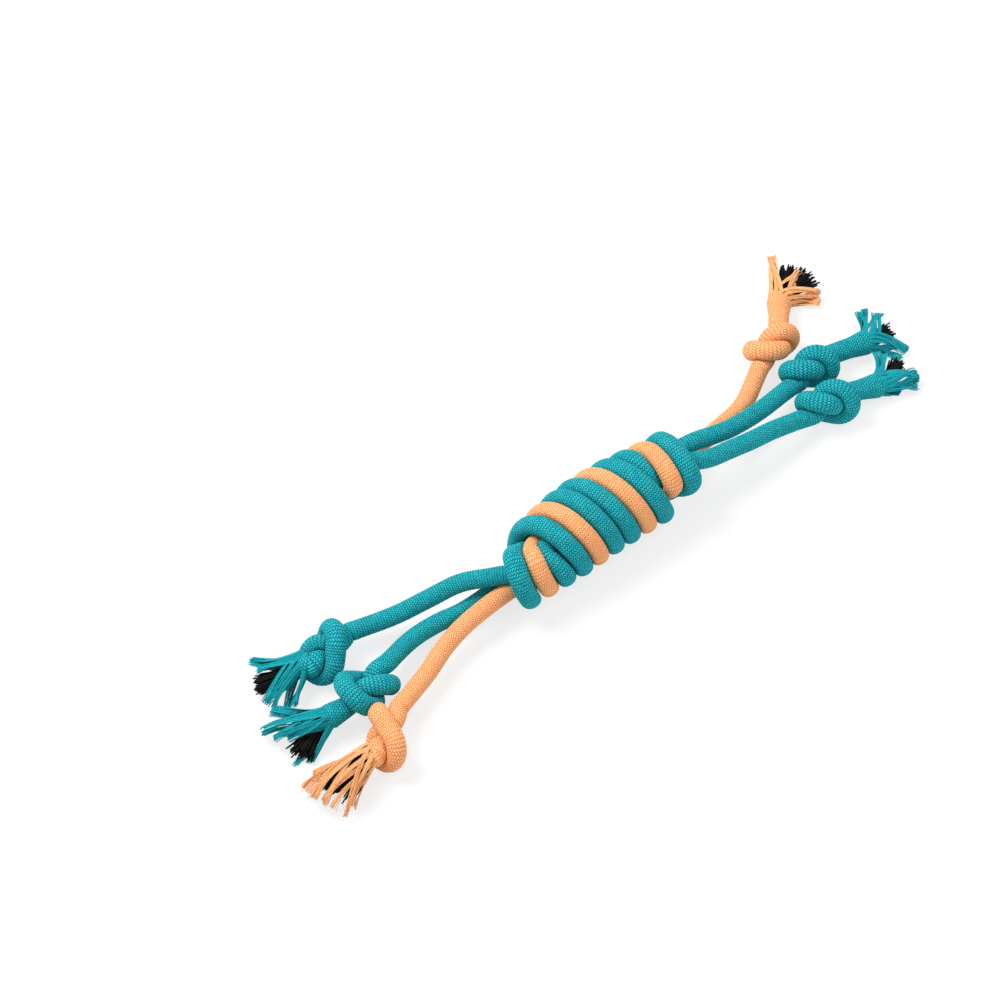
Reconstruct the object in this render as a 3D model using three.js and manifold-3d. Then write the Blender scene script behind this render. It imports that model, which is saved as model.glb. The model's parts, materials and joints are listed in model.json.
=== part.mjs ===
// Rope dog toy: three braided ropes tied together in one long barrel knot.
// Each rope runs through the barrel, winds back round it and runs through it again.
// Millimetres, +X along the barrel, +Z up, the barrel's flat underside at Z = 0.
import * as THREE from 'three';
import { mergeVertices } from 'three/addons/utils/BufferGeometryUtils.js';
import Module from 'manifold-3d';

const wasm = await Module();
wasm.setup();

// Rope
const ROPE_D = 9;
const PRESSED_D = 0.66 * ROPE_D;
const KNOTTED_D = 0.8 * ROPE_D;
const CLEARANCE = 0.6;
const JOINT_GAP = 0.3;
const ROPE_SIDES = 8;
const WOUND_SIDES = 6;

// Barrel: three ropes side by side, four turns each, round six pressed strands
const TURN_GAP = 0.75;
const TURN_PITCH = ROPE_D + TURN_GAP;
const STRAND_RING_R = (PRESSED_D + CLEARANCE) / Math.sin(Math.PI / 3);
const WIND_R = STRAND_RING_R + PRESSED_D / 2 + CLEARANCE + ROPE_D / 2;
const FLAT_CUT = ROPE_D / 10;
const BULGE = 0.155 * ROPE_D;
const AXIS_Z = WIND_R + BULGE + ROPE_D / 2 - FLAT_CUT;
const TURN_STEP = 15;
const MID_TURN = 570;
const MID_X = TURN_PITCH / 4;

// Free ends
const COVER_YARNS = 24;
const CORE_YARNS = 9;
const COVER_YARN_R = 0.4;
const CORE_YARN_R = 0.65;
const COLLAR_LENGTH = 2.4;
const TIP_Z = 0.45 * ROPE_D;
const FLOOR_GAP = 0.05;

// Routes were chosen for a 9 mm rope and grow with it
const ROUTE_SCALE = ROPE_D / 9;

// One entry per rope: turn is its place in the band of three, angles are round the barrel
// from the top towards the front. A leg runs from the barrel to the middle of its knot and bends
// as far as point bendTo. A knot is yawed from its leg and rolled about its own axis, its tail
// ends at a point in plan, and a tassel is its direction in plan and its length.
const ROPES = [
  {
    name: 'teal_a', turn: 0, colour: 0x159aa6, through: [60, 60], back: [-120, -60], viaCentre: true,
    left: {
      leg: [[-58.3, 2.2, 20.5], [-70.5, 10, 17.5], [-86.6, 14.5, 14.5], [-103.6, 18.3, 12]], bendTo: 1,
      knot: [-143, 21], yaw: 9, roll: 35, tail: [-160.5, 21], tassel: [-20, -4, 24],
    },
    right: {
      leg: [[65.7, 5.7, 26.5], [77.6, 5.5, 24.5], [89.4, 5.5, 22], [107.4, 8, 17]], bendTo: 1,
      knot: [145.5, 11.5], yaw: 0, roll: 270, tail: [181, 9], tassel: [20, 2, 14],
    },
  },
  {
    name: 'orange', turn: 1, colour: 0xf59d5f, through: [120, 120], back: [-60, -120], viaCentre: false,
    left: {
      leg: [[-58.3, -7, 15.5], [-80, -11, 13], [-95.6, -14.3, 11.5], [-110.6, -18.8, 10.5]], bendTo: 1,
      knot: [-147.5, -36.3], yaw: 8, roll: 85, tail: [-162.5, -40.5], tassel: [-36, -9, 36],
    },
    right: {
      leg: [[66.7, 9.7, 10.5], [78.5, 12.5, 6.8], [92.4, 15.5, 5.2], [107.4, 19.5, 6]], bendTo: 2,
      knot: [139, 32.5], yaw: 0, roll: 300, tail: [161, 53.5], tassel: [15, 9, 18],
    },
  },
  {
    name: 'teal_b', turn: 2, colour: 0x159aa6, through: [180, 180], back: [0, 0], viaCentre: false,
    left: {
      leg: [[-58.3, 0.7, 10], [-74.6, -0.3, 9], [-90.6, -0.2, 9], [-104.6, -0.5, 9]], bendTo: 2,
      knot: [-141, -6.6], yaw: 0, roll: 190, tail: [-165, -7], tassel: [-25, -3, 28],
    },
    right: {
      leg: [[65.7, -4.8, 26], [78.6, -8.3, 23.2], [91.9, -9.8, 20], [105.4, -10.5, 16]], bendTo: 1,
      knot: [139.4, -10.8], yaw: 0, roll: 270, tail: [168.2, -14.8], tassel: [20, -2, 18],
    },
  },
];

const ease = (t) => t * t * (3 - 2 * t);
const clamp = (t) => Math.min(1, Math.max(0, t));
const ramp = (from, to, t) => ease(clamp((t - from) / (to - from)));
const mix = (a, b, t) => a + (b - a) * t;

// A point of the barrel from its place along the axis, its radius and its angle from the top
function roundAxis(x, radius, degrees) {
  const angle = THREE.MathUtils.degToRad(degrees);
  return new THREE.Vector3(x + MID_X, -radius * Math.sin(angle), AXIS_Z + radius * Math.cos(angle));
}

// How far a rope's first turns are drawn out towards the barrel's end, in pitches
const DRAWN_OUT = [
  (degrees) => -0.25 * (1 - ramp(130, 250, degrees)),
  (degrees) => -0.12 * (1 - ramp(118, 300, degrees)),
  (degrees) => -0.12 * (1 - ramp(118, 300, degrees)),
];

// Where its turns end, each rope sinks under the second turn of the first one and runs on
// straight as a strand. Each row: angle, depth sunk from 0 to 1, place along the axis in pitches.
const SINK = [
  [
    [-120, 1, -1.9], [-120, 1, -2.6], [-116, 1, -3.2], [-105, 1, -3.6], [-88, 1, -3.85], [-72, 1, -4.1],
    [-57, 1, -4.3], [-44, 0.95, -4.5], [-30, 0.75, -4.68], [-15, 0.42, -4.85], [0, 0.12, -4.98],
    [15, 0, -5.05], [40, 0, -5.1], [65, 0, -5.1], [90, 0, -5.05],
  ],
  [
    [-60, 1, -1.3], [-60, 1, -2], [-56, 1, -2.6], [-46, 1, -3.05], [-32, 1, -3.4], [-18, 1, -3.65],
    [-5, 0.9, -3.82], [7, 0.6, -3.93], [18, 0.26, -4], [30, 0.05, -4.02], [60, 0, -4], [90, 0, -3.93],
  ],
  [
    [0, 1, -1.4], [0, 1, -2.1], [4, 1, -2.7], [14, 1, -3.1], [28, 1, -3.35], [42, 0.93, -3.4],
    [56, 0.75, -3.35], [70, 0.42, -3.25], [84, 0.12, -3.12], [100, 0, -2.98],
  ],
];

// The barrel is a little thicker in its middle than at its ends
const woundRadius = (pitches) => WIND_R + BULGE * Math.max(0, 1 - (pitches / 4.2) ** 2);

// The left half of a rope's winding, from its strand to the middle of the barrel
function halfWinding(turn) {
  const rows = SINK[turn].map(([degrees, sunk, along]) => ({
    x: along * TURN_PITCH, radius: mix(woundRadius(along), STRAND_RING_R, sunk), degrees, sunk,
  }));
  for (let degrees = 120; degrees < MID_TURN; degrees += TURN_STEP) {
    const along = turn - 1 + (3 * (degrees - MID_TURN)) / 360 + DRAWN_OUT[turn](degrees);
    rows.push({ x: along * TURN_PITCH, radius: woundRadius(along), degrees, sunk: 0 });
  }
  return rows;
}

// The knot is alike from both ends: its right half is the left one turned over about the middle
function winding(turn) {
  const left = halfWinding(turn);
  const right = halfWinding(2 - turn).map((p) => ({ ...p, x: -p.x, degrees: 2 * MID_TURN - p.degrees }));
  const all = [...left, ...right.reverse()];
  return all.map((p) => ({
    point: roundAxis(p.x, p.radius, p.degrees),
    radius: mix(ROPE_D, PRESSED_D, p.sunk) / 2,
  }));
}

// A pressed strand through the barrel; one changes places through the empty middle
function strand(angles, viaCentre, fromX, toX) {
  const rows = [];
  const count = 24;
  for (let i = 0; i <= count; i += 1) {
    const x = mix(fromX, toX, i / count);
    const along = x / TURN_PITCH;
    const degrees = mix(angles[0], angles[1], viaCentre ? ramp(2.5, 2.7, along) : ramp(1.4, 3.7, along));
    const out = viaCentre ? 1 - ramp(0.2, 1.6, along) + ramp(3.5, 4.9, along) : 1;
    rows.push({ point: roundAxis(x, STRAND_RING_R * out, degrees), radius: PRESSED_D / 2 });
  }
  return rows;
}

// Rows of points at equal steps along a smooth curve through the given rows
function respaced(rows, step) {
  const curve = new THREE.CatmullRomCurve3(rows.map((row) => row.point), false, 'centripetal');
  const count = Math.max(2, Math.round(curve.getLength() / step));
  return Array.from({ length: count + 1 }, (_, i) => {
    const t = curve.getUtoTmapping(i / count) * (rows.length - 1);
    const at = Math.min(rows.length - 2, Math.floor(t));
    const radius = mix(rows[at].radius, rows[at + 1].radius, t - at);
    return { point: curve.getPointAt(i / count), radius, part: rows[at].part };
  });
}

// An overhand knot on the X axis, drawn up until the rope lies against itself
function overhandKnot(lead, apart) {
  const count = 73;
  const skip = 7;
  let points = Array.from({ length: count }, (_, i) => {
    const t = -2.15 + (4.3 * i) / (count - 1);
    return new THREE.Vector3(t ** 3 - 3 * t, 0.75 * (t ** 4 - 4 * t * t + 2), 0.26 * (t ** 5 - 10 * t));
  });
  points.forEach((p) => p.multiplyScalar(apart));
  const starts = [points[0].clone(), points[count - 1].clone()];
  for (let round = 0; round < 1400; round += 1) {
    const drawn = clamp(round / 600);
    points[0].lerpVectors(starts[0], new THREE.Vector3(-lead, 0, 0), drawn);
    points[count - 1].lerpVectors(starts[1], new THREE.Vector3(lead, 0, 0), drawn);
    points = points.map((p, i) => {
      if (i === 0 || i === count - 1) return p;
      const between = points[i - 1].clone().add(points[i + 1]).multiplyScalar(0.5);
      return p.clone().lerp(between, 0.3);
    });
    const least = (i, j) => (j - i >= skip ? apart : 0);
    for (let pass = 0; pass < 4; pass += 1) pushApart(points, least, (i) => i === 0 || i === count - 1);
  }
  return points;
}

// Moves points that are closer than their least distance away from each other, held ones excepted
function pushApart(points, leastDistance, held) {
  const push = points.map(() => new THREE.Vector3());
  const hits = points.map(() => 0);
  const between = new THREE.Vector3();
  for (let i = 0; i < points.length; i += 1) {
    for (let j = i + 1; j < points.length; j += 1) {
      const least = leastDistance(i, j);
      const distance = least > 0 ? points[i].distanceTo(points[j]) : 0;
      if (distance < least) {
        between.subVectors(points[i], points[j]).multiplyScalar((0.5 * (least - distance)) / distance);
        push[i].add(between);
        push[j].sub(between);
        hits[i] += 1;
        hits[j] += 1;
      }
    }
  }
  points.forEach((p, i) => {
    if (hits[i] > 0 && !held(i)) p.addScaledVector(push[i], 1 / Math.max(1, 0.6 * hits[i]));
  });
}

// A closed tube through rings of points, with its own radius at each
function ropeTube(rows, sides) {
  const points = rows.map((row) => row.point);
  const tangents = points.map((_, i) => {
    if (rows[i].tangent) return rows[i].tangent.clone();
    const before = points[Math.max(0, i - 1)];
    const after = points[Math.min(points.length - 1, i + 1)];
    return after.clone().sub(before).normalize();
  });
  const start = Math.abs(tangents[0].z) < 0.9 ? new THREE.Vector3(0, 0, 1) : new THREE.Vector3(1, 0, 0);
  let normal = start.addScaledVector(tangents[0], -start.dot(tangents[0])).normalize();
  const positions = [];
  const index = [];
  rows.forEach((row, i) => {
    normal.addScaledVector(tangents[i], -normal.dot(tangents[i])).normalize();
    const other = tangents[i].clone().cross(normal);
    for (let s = 0; s < sides; s += 1) {
      const angle = (2 * Math.PI * (s + 0.5)) / sides;
      const p = row.point.clone();
      p.addScaledVector(normal, row.radius * Math.cos(angle));
      p.addScaledVector(other, row.radius * Math.sin(angle));
      positions.push(p.x, p.y, p.z);
    }
  });
  for (let i = 0; i < rows.length - 1; i += 1) {
    for (let s = 0; s < sides; s += 1) {
      const a = i * sides + s;
      const b = i * sides + ((s + 1) % sides);
      index.push(a, b, b + sides, a, b + sides, a + sides);
    }
  }
  const last = (rows.length - 1) * sides;
  for (let s = 1; s < sides - 1; s += 1) {
    index.push(0, s + 1, s, last, last + s, last + s + 1);
  }
  const geometry = new THREE.BufferGeometry();
  geometry.setAttribute('position', new THREE.Float32BufferAttribute(positions, 3));
  geometry.setIndex(index);
  return geometry;
}

// Closed solids for adding and cutting
function toManifold(geometry) {
  const bare = new THREE.BufferGeometry();
  bare.setAttribute('position', geometry.getAttribute('position'));
  bare.setIndex(geometry.getIndex());
  const merged = mergeVertices(bare, 1e-4);
  return new wasm.Manifold(new wasm.Mesh({
    numProp: 3,
    vertProperties: Float32Array.from(merged.getAttribute('position').array),
    triVerts: Uint32Array.from(merged.getIndex().array),
  }));
}

function toGeometry(manifold) {
  const mesh = manifold.getMesh();
  const geometry = new THREE.BufferGeometry();
  geometry.setAttribute('position', new THREE.Float32BufferAttribute(mesh.vertProperties, 3));
  geometry.setIndex(new THREE.BufferAttribute(Uint32Array.from(mesh.triVerts), 1));
  return geometry;
}

const fused = (geometries) => toGeometry(geometries.map(toManifold).reduce((all, one) => all.add(one)));

// What lies below Z = 0 is cut off flat
function cutFlat(geometry) {
  const block = new THREE.BoxGeometry(600, 600, 40);
  block.translate(0, 0, -20);
  return toGeometry(toManifold(geometry).subtract(toManifold(block)));
}

const part = new THREE.Group();
part.name = 'rope_dog_toy';

function addNode(name, geometry, colour) {
  const material = new THREE.MeshStandardMaterial({ color: colour, roughness: 0.9 });
  const mesh = new THREE.Mesh(geometry, material);
  mesh.name = name;
  part.add(mesh);
}

// The knot, tail and tassel that one leg ends in, worked out before the leg so that it meets them
const KNOT_APART = KNOTTED_D + CLEARANCE;
const KNOT_LEAD = 1.9 * KNOT_APART;
const KNOT_POINTS = overhandKnot(KNOT_LEAD, KNOT_APART);

function placeKnot(end) {
  const route = end.leg.map((p) => new THREE.Vector3(...p).multiplyScalar(ROUTE_SCALE));
  const last = route[route.length - 1];
  const centre = new THREE.Vector3(end.knot[0] * ROUTE_SCALE, end.knot[1] * ROUTE_SCALE, 0);
  const up = new THREE.Vector3(0, 0, 1);
  const axis = new THREE.Vector3(centre.x - last.x, centre.y - last.y, 0).normalize();
  axis.applyAxisAngle(up, THREE.MathUtils.degToRad(end.yaw));
  const frame = new THREE.Matrix4().makeBasis(axis, up.clone().cross(axis), up);
  frame.multiply(new THREE.Matrix4().makeRotationX(THREE.MathUtils.degToRad(end.roll)));
  const kept = KNOT_POINTS.filter((p) => p.x < 1.45 * KNOT_APART || p.distanceTo(KNOT_POINTS[0]) < KNOT_LEAD);
  const points = kept.map((p) => p.clone().applyMatrix4(frame).add(centre));
  const lowest = Math.min(...points.map((p) => p.z)) - KNOTTED_D / 2;
  points.forEach((p) => p.setZ(p.z - lowest + FLOOR_GAP));
  const heading = new THREE.Vector3(end.tassel[0], end.tassel[1], 0).normalize();
  const exit = points[points.length - 1];
  const tail = new THREE.Vector3(end.tail[0] * ROUTE_SCALE, end.tail[1] * ROUTE_SCALE, exit.z);
  tail.z = Math.max(ROPE_D / 2 + FLOOR_GAP, exit.z - 0.2 * tail.distanceTo(exit));
  const tailTangent = heading.clone().setZ(-0.25).normalize();
  return { route, points, heading, tail, tailTangent };
}

// One rope as rows of points, from its left knot to its right one
function ropeRows(rope, ends) {
  const row = (point, name, d = ROPE_D) => ({ point, radius: d / 2, part: name });
  const wound = winding(rope.turn);
  const leftX = wound[0].point.x - MID_X;
  const rightX = wound[wound.length - 1].point.x - MID_X;
  const mouthX = 4.75 * TURN_PITCH;
  const through = strand(rope.through, false, -mouthX, rightX);
  const back = strand(rope.back, rope.viaCentre, leftX, mouthX);
  return [
    row(ends.left.points[0], 'leg_left'),
    ...ends.left.route.map((p, i) => row(p, i > rope.left.bendTo ? 'leg_left' : 'bend_left')).reverse(),
    ...through.slice(0, -1).map((r) => ({ ...r, part: 'pass_in' })),
    ...wound.reverse().map((r) => ({ ...r, part: 'winding' })).slice(0, -1),
    ...back.map((r, i) => ({ ...r, part: i < back.length - 1 ? 'pass_out' : 'bend_right' })),
    ...ends.right.route.map((p, i) => row(p, i < rope.right.bendTo ? 'bend_right' : 'leg_right')),
    row(ends.right.points[0], 'leg_right'),
  ];
}

const CHAIN_STEP = (2 * Math.PI * WIND_R * TURN_STEP) / 360;
const placed = ROPES.map((rope) => ({ left: placeKnot(rope.left), right: placeKnot(rope.right) }));
const chains = ROPES.map((rope, i) => respaced(ropeRows(rope, placed[i]), CHAIN_STEP));

// The ropes settle against each other without leaving their routes
const beads = chains.flatMap((chain, c) => chain.map((bead, i) => ({ bead, c, i, last: chain.length - 1 })));
const points = beads.map(({ bead }) => bead.point);
const routed = points.map((p) => p.clone());
const nearAlong = Math.ceil((2.2 * ROPE_D) / CHAIN_STEP);
const isHeld = (k) => beads[k].i < 2 || beads[k].i > beads[k].last - 2;
function leastDistance(a, b) {
  if (beads[a].c === beads[b].c && Math.abs(beads[a].i - beads[b].i) < nearAlong) return 0;
  return beads[a].bead.radius + beads[b].bead.radius + CLEARANCE;
}
for (let round = 0; round < 240; round += 1) {
  if (round < 180) {
    const moved = points.map((p, k) => p.clone().sub(routed[k]));
    points.forEach((p, k) => {
      if (isHeld(k)) return;
      const between = moved[k - 1].clone().add(moved[k + 1]).multiplyScalar(0.5);
      p.copy(routed[k]).add(moved[k].lerp(between, 0.4).multiplyScalar(0.98));
    });
  }
  pushApart(points, leastDistance, isHeld);
  points.forEach((p, k) => {
    if (beads[k].bead.part.startsWith('leg')) p.setZ(Math.max(p.z, ROPE_D / 2 + FLOOR_GAP));
  });
}
let leastGap = Infinity;
for (let a = 0; a < points.length; a += 1) {
  for (let b = a + 1; b < points.length; b += 1) {
    const least = leastDistance(a, b);
    if (least > 0) leastGap = Math.min(leastGap, points[a].distanceTo(points[b]) - least + CLEARANCE);
  }
}
console.log(`least gap between ropes and turns ${leastGap.toFixed(2)} mm`);

// One stretch of a rope, its end faces square to the rope and half a joint gap short
function stretch(chain, name) {
  const from = chain.findIndex((bead) => bead.part === name);
  const to = chain.findLastIndex((bead) => bead.part === name);
  const rows = chain.slice(from, to + 1);
  const capped = (inside, outside) => {
    const tangent = outside.point.clone().sub(inside.point).normalize();
    const point = inside.point.clone().add(outside.point).multiplyScalar(0.5);
    point.addScaledVector(tangent, -JOINT_GAP / 2);
    return { point, tangent, radius: (inside.radius + outside.radius) / 2 };
  };
  if (from > 0) {
    const end = capped(rows[0], chain[from - 1]);
    rows.unshift({ ...end, tangent: end.tangent.negate() });
  }
  if (to < chain.length - 1) rows.push(capped(chain[to], chain[to + 1]));
  return rows;
}

// The rope through a knot and its tail, thinner where it is drawn tight
function knotRows(end, legEnd) {
  const loops = end.points.filter((_, i) => i % 2 === 0);
  const tangent = legEnd.tangent;
  const rows = loops.map((point, i) => {
    const tight = clamp(Math.min(i, loops.length - 1 - i) / 3);
    return { point: point.clone(), radius: mix(ROPE_D, KNOTTED_D, tight) / 2 };
  });
  rows[0] = { point: legEnd.point.clone().addScaledVector(tangent, JOINT_GAP), radius: ROPE_D / 2, tangent };
  rows.push({ point: end.tail, radius: ROPE_D / 2, tangent: end.tailTangent });
  return rows;
}

// A lock of yarns that fans out over the floor from a slice of the rope's end
const COVER = {
  count: COVER_YARNS, ringR: 0.4 * ROPE_D, yarnR: COVER_YARN_R, spread: 12 * ROUTE_SCALE, phase: 0,
};
const CORE = {
  count: CORE_YARNS, ringR: 0.19 * ROPE_D, yarnR: CORE_YARN_R, spread: 3.5 * ROUTE_SCALE, phase: 0.5,
};

function yarns(end, { count, ringR, yarnR, spread, phase }, length) {
  const side = new THREE.Vector3(-end.heading.y, end.heading.x, 0);
  const middle = end.tail.clone().addScaledVector(end.tailTangent, 0.45 * length);
  const tip = end.tail.clone().addScaledVector(end.heading, length).setZ(TIP_Z);
  const fall = new THREE.QuadraticBezierCurve3(end.tail, middle, tip);
  const strands = [];
  for (let n = 0; n < count; n += 1) {
    const angle = (2 * Math.PI * (n + phase)) / count;
    const reach = 0.78 + 0.22 * ((n * 0.618) % 1);
    const rows = [0.05, 0.35, 0.68, 1].map((k) => {
      const t = k * reach;
      const point = fall.getPoint(t);
      const up = fall.getTangent(t).cross(side);
      const fan = ringR + spread * t ** 1.6;
      const coverFan = COVER.ringR + COVER.spread * t ** 1.6;
      const squash = Math.min(1, (point.z - COVER.yarnR - FLOOR_GAP) / coverFan);
      point.addScaledVector(side, fan * Math.cos(angle));
      point.addScaledVector(up, squash * fan * Math.sin(angle));
      return { point, radius: yarnR };
    });
    strands.push(ropeTube(rows, 3));
  }
  return strands;
}

function slice(end, innerR, outerR) {
  const profile = [[innerR, 0], [outerR, 0], [outerR, COLLAR_LENGTH], [innerR, COLLAR_LENGTH], [innerR, 0]];
  const ring = new THREE.LatheGeometry(profile.map(([r, h]) => new THREE.Vector2(r, h)), 16);
  const turn = new THREE.Quaternion().setFromUnitVectors(new THREE.Vector3(0, 1, 0), end.tailTangent);
  ring.applyQuaternion(turn);
  const at = end.tail.clone().addScaledVector(end.tailTangent, JOINT_GAP);
  return ring.translate(at.x, at.y, at.z);
}

const SIDES = ['left', 'right'];
ROPES.forEach((rope, r) => {
  const chain = chains[r];
  addNode(`${rope.name}_winding`, cutFlat(ropeTube(stretch(chain, 'winding'), WOUND_SIDES)), rope.colour);
  for (const pass of ['pass_in', 'pass_out']) {
    addNode(`${rope.name}_${pass}`, ropeTube(stretch(chain, pass), WOUND_SIDES), rope.colour);
  }
  for (const side of SIDES) {
    const end = placed[r][side];
    const legRows = stretch(chain, `leg_${side}`);
    const ordered = side === 'left' ? [...legRows].reverse() : legRows;
    const knotSide = ordered[ordered.length - 1];
    const before = ordered[ordered.length - 2];
    const tangent = knotSide.point.clone().sub(before.point).normalize();
    knotSide.tangent = side === 'left' ? tangent.clone().negate() : tangent;
    addNode(`${rope.name}_bend_${side}`, ropeTube(stretch(chain, `bend_${side}`), ROPE_SIDES), rope.colour);
    addNode(`${rope.name}_leg_${side}`, ropeTube(legRows, ROPE_SIDES), rope.colour);
    const meets = { point: knotSide.point, tangent };
    addNode(`${rope.name}_knot_${side}`, ropeTube(knotRows(end, meets), ROPE_SIDES), rope.colour);
    const length = ROPES[r][side].tassel[2] * ROUTE_SCALE;
    const coreR = 0.27 * ROPE_D;
    const cover = [slice(end, coreR + JOINT_GAP, ROPE_D / 2), ...yarns(end, COVER, length)];
    addNode(`${rope.name}_fringe_${side}`, fused(cover), rope.colour);
    const core = [slice(end, 0, coreR), ...yarns(end, CORE, 0.9 * length)];
    addNode(`${rope.name}_tuft_${side}`, fused(core), 0x0d0c0e);
    const bend = stretch(chain, `bend_${side}`);
    const pivot = bend[Math.round(bend.length / 2)].point;
    const far = knotSide.point.clone().sub(pivot).setZ(0).normalize();
    console.log(rope.name, side, 'pivot', pivot.toArray().map((v) => v.toFixed(2)).join(' '),
      'heading', far.x.toFixed(4), far.y.toFixed(4));
  }
});

export default part;
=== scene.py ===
# %% [markdown]
# # A rope dog toy
# Three lengths of soft braided rope, two teal and one orange, are tied together in one long
# barrel knot. Each of the six loose legs ends in an overhand knot and a frayed tassel.
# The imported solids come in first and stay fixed. Each piece made below takes the place of one or
# two of them and moves with the same body. Lengths are in metres and angles in degrees.

# %% Frame and tools
import json
from functools import partial

import bpy
import numpy as np
from mathutils import Vector
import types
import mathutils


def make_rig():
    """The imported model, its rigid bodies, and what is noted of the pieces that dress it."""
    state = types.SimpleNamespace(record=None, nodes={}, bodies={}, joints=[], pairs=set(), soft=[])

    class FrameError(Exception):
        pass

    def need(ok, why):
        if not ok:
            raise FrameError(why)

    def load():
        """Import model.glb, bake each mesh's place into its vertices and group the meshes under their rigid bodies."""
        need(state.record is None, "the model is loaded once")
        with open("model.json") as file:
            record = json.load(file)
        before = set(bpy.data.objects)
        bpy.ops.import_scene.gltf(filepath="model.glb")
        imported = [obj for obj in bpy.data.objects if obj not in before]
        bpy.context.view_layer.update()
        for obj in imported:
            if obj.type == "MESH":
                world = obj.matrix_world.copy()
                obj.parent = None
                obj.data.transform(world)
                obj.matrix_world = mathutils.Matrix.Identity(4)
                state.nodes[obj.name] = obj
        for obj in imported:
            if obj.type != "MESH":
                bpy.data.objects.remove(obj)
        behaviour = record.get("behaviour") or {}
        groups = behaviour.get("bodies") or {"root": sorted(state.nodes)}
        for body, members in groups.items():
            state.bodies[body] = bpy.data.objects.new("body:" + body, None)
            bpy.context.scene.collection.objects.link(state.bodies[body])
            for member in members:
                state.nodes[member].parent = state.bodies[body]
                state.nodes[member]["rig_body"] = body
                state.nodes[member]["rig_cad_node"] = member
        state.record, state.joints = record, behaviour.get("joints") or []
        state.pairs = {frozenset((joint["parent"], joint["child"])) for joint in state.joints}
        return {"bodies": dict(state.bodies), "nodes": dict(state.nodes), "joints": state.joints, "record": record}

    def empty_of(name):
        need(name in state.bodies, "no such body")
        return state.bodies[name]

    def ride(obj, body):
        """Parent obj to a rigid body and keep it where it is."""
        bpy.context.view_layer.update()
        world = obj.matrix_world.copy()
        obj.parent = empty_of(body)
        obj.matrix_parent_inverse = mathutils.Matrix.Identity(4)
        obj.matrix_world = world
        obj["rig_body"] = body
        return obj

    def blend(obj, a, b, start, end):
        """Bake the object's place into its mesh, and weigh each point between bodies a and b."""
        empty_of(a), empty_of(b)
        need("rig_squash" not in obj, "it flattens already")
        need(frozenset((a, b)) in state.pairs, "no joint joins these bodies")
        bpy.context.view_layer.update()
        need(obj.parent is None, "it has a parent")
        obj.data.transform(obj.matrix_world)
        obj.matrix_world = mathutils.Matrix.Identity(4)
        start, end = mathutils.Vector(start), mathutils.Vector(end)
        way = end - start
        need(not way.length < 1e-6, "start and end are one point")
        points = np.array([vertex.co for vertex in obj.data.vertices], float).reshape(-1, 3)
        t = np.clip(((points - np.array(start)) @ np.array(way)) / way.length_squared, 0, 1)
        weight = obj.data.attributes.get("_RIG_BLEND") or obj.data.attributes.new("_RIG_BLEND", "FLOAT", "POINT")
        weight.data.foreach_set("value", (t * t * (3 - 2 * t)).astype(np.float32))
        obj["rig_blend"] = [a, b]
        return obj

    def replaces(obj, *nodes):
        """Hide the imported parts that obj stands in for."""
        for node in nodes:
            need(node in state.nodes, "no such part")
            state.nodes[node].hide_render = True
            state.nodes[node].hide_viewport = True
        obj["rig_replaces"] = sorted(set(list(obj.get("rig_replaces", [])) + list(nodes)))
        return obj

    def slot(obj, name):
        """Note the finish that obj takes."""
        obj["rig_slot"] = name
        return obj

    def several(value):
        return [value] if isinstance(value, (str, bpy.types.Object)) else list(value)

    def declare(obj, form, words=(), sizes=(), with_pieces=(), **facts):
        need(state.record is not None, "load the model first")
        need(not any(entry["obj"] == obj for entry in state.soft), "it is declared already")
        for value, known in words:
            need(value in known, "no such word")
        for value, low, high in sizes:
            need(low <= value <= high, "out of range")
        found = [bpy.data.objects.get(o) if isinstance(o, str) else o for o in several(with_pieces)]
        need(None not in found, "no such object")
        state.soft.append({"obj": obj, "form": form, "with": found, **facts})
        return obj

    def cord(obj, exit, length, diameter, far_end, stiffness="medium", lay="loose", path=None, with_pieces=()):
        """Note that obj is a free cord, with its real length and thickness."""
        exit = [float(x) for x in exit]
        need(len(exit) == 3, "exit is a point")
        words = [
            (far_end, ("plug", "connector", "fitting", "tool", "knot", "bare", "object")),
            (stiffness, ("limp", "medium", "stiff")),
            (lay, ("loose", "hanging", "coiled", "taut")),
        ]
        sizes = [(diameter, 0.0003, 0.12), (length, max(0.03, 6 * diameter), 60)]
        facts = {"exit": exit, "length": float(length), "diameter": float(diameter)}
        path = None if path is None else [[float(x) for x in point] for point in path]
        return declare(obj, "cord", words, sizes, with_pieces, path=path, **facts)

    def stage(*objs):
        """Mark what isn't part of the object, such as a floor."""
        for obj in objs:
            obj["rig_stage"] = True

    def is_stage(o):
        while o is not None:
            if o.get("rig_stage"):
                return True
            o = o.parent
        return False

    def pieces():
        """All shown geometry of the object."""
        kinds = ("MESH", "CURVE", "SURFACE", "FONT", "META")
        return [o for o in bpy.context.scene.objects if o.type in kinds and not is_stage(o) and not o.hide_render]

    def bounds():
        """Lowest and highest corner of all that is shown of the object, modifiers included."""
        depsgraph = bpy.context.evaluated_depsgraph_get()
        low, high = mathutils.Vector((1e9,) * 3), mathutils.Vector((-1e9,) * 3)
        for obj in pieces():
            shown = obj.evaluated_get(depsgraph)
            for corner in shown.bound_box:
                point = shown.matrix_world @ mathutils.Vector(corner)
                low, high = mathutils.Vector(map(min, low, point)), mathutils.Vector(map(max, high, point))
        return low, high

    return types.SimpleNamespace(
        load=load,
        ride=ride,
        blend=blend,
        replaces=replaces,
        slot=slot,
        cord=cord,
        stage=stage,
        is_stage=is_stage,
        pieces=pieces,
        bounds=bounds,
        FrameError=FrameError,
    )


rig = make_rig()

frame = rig.load()
cad_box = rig.bounds()


def new_object(name, data):
    """A new object in the scene, from a mesh, a camera or a lamp."""
    thing = bpy.data.objects.new(name, data)
    bpy.context.collection.objects.link(thing)
    return thing


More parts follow.
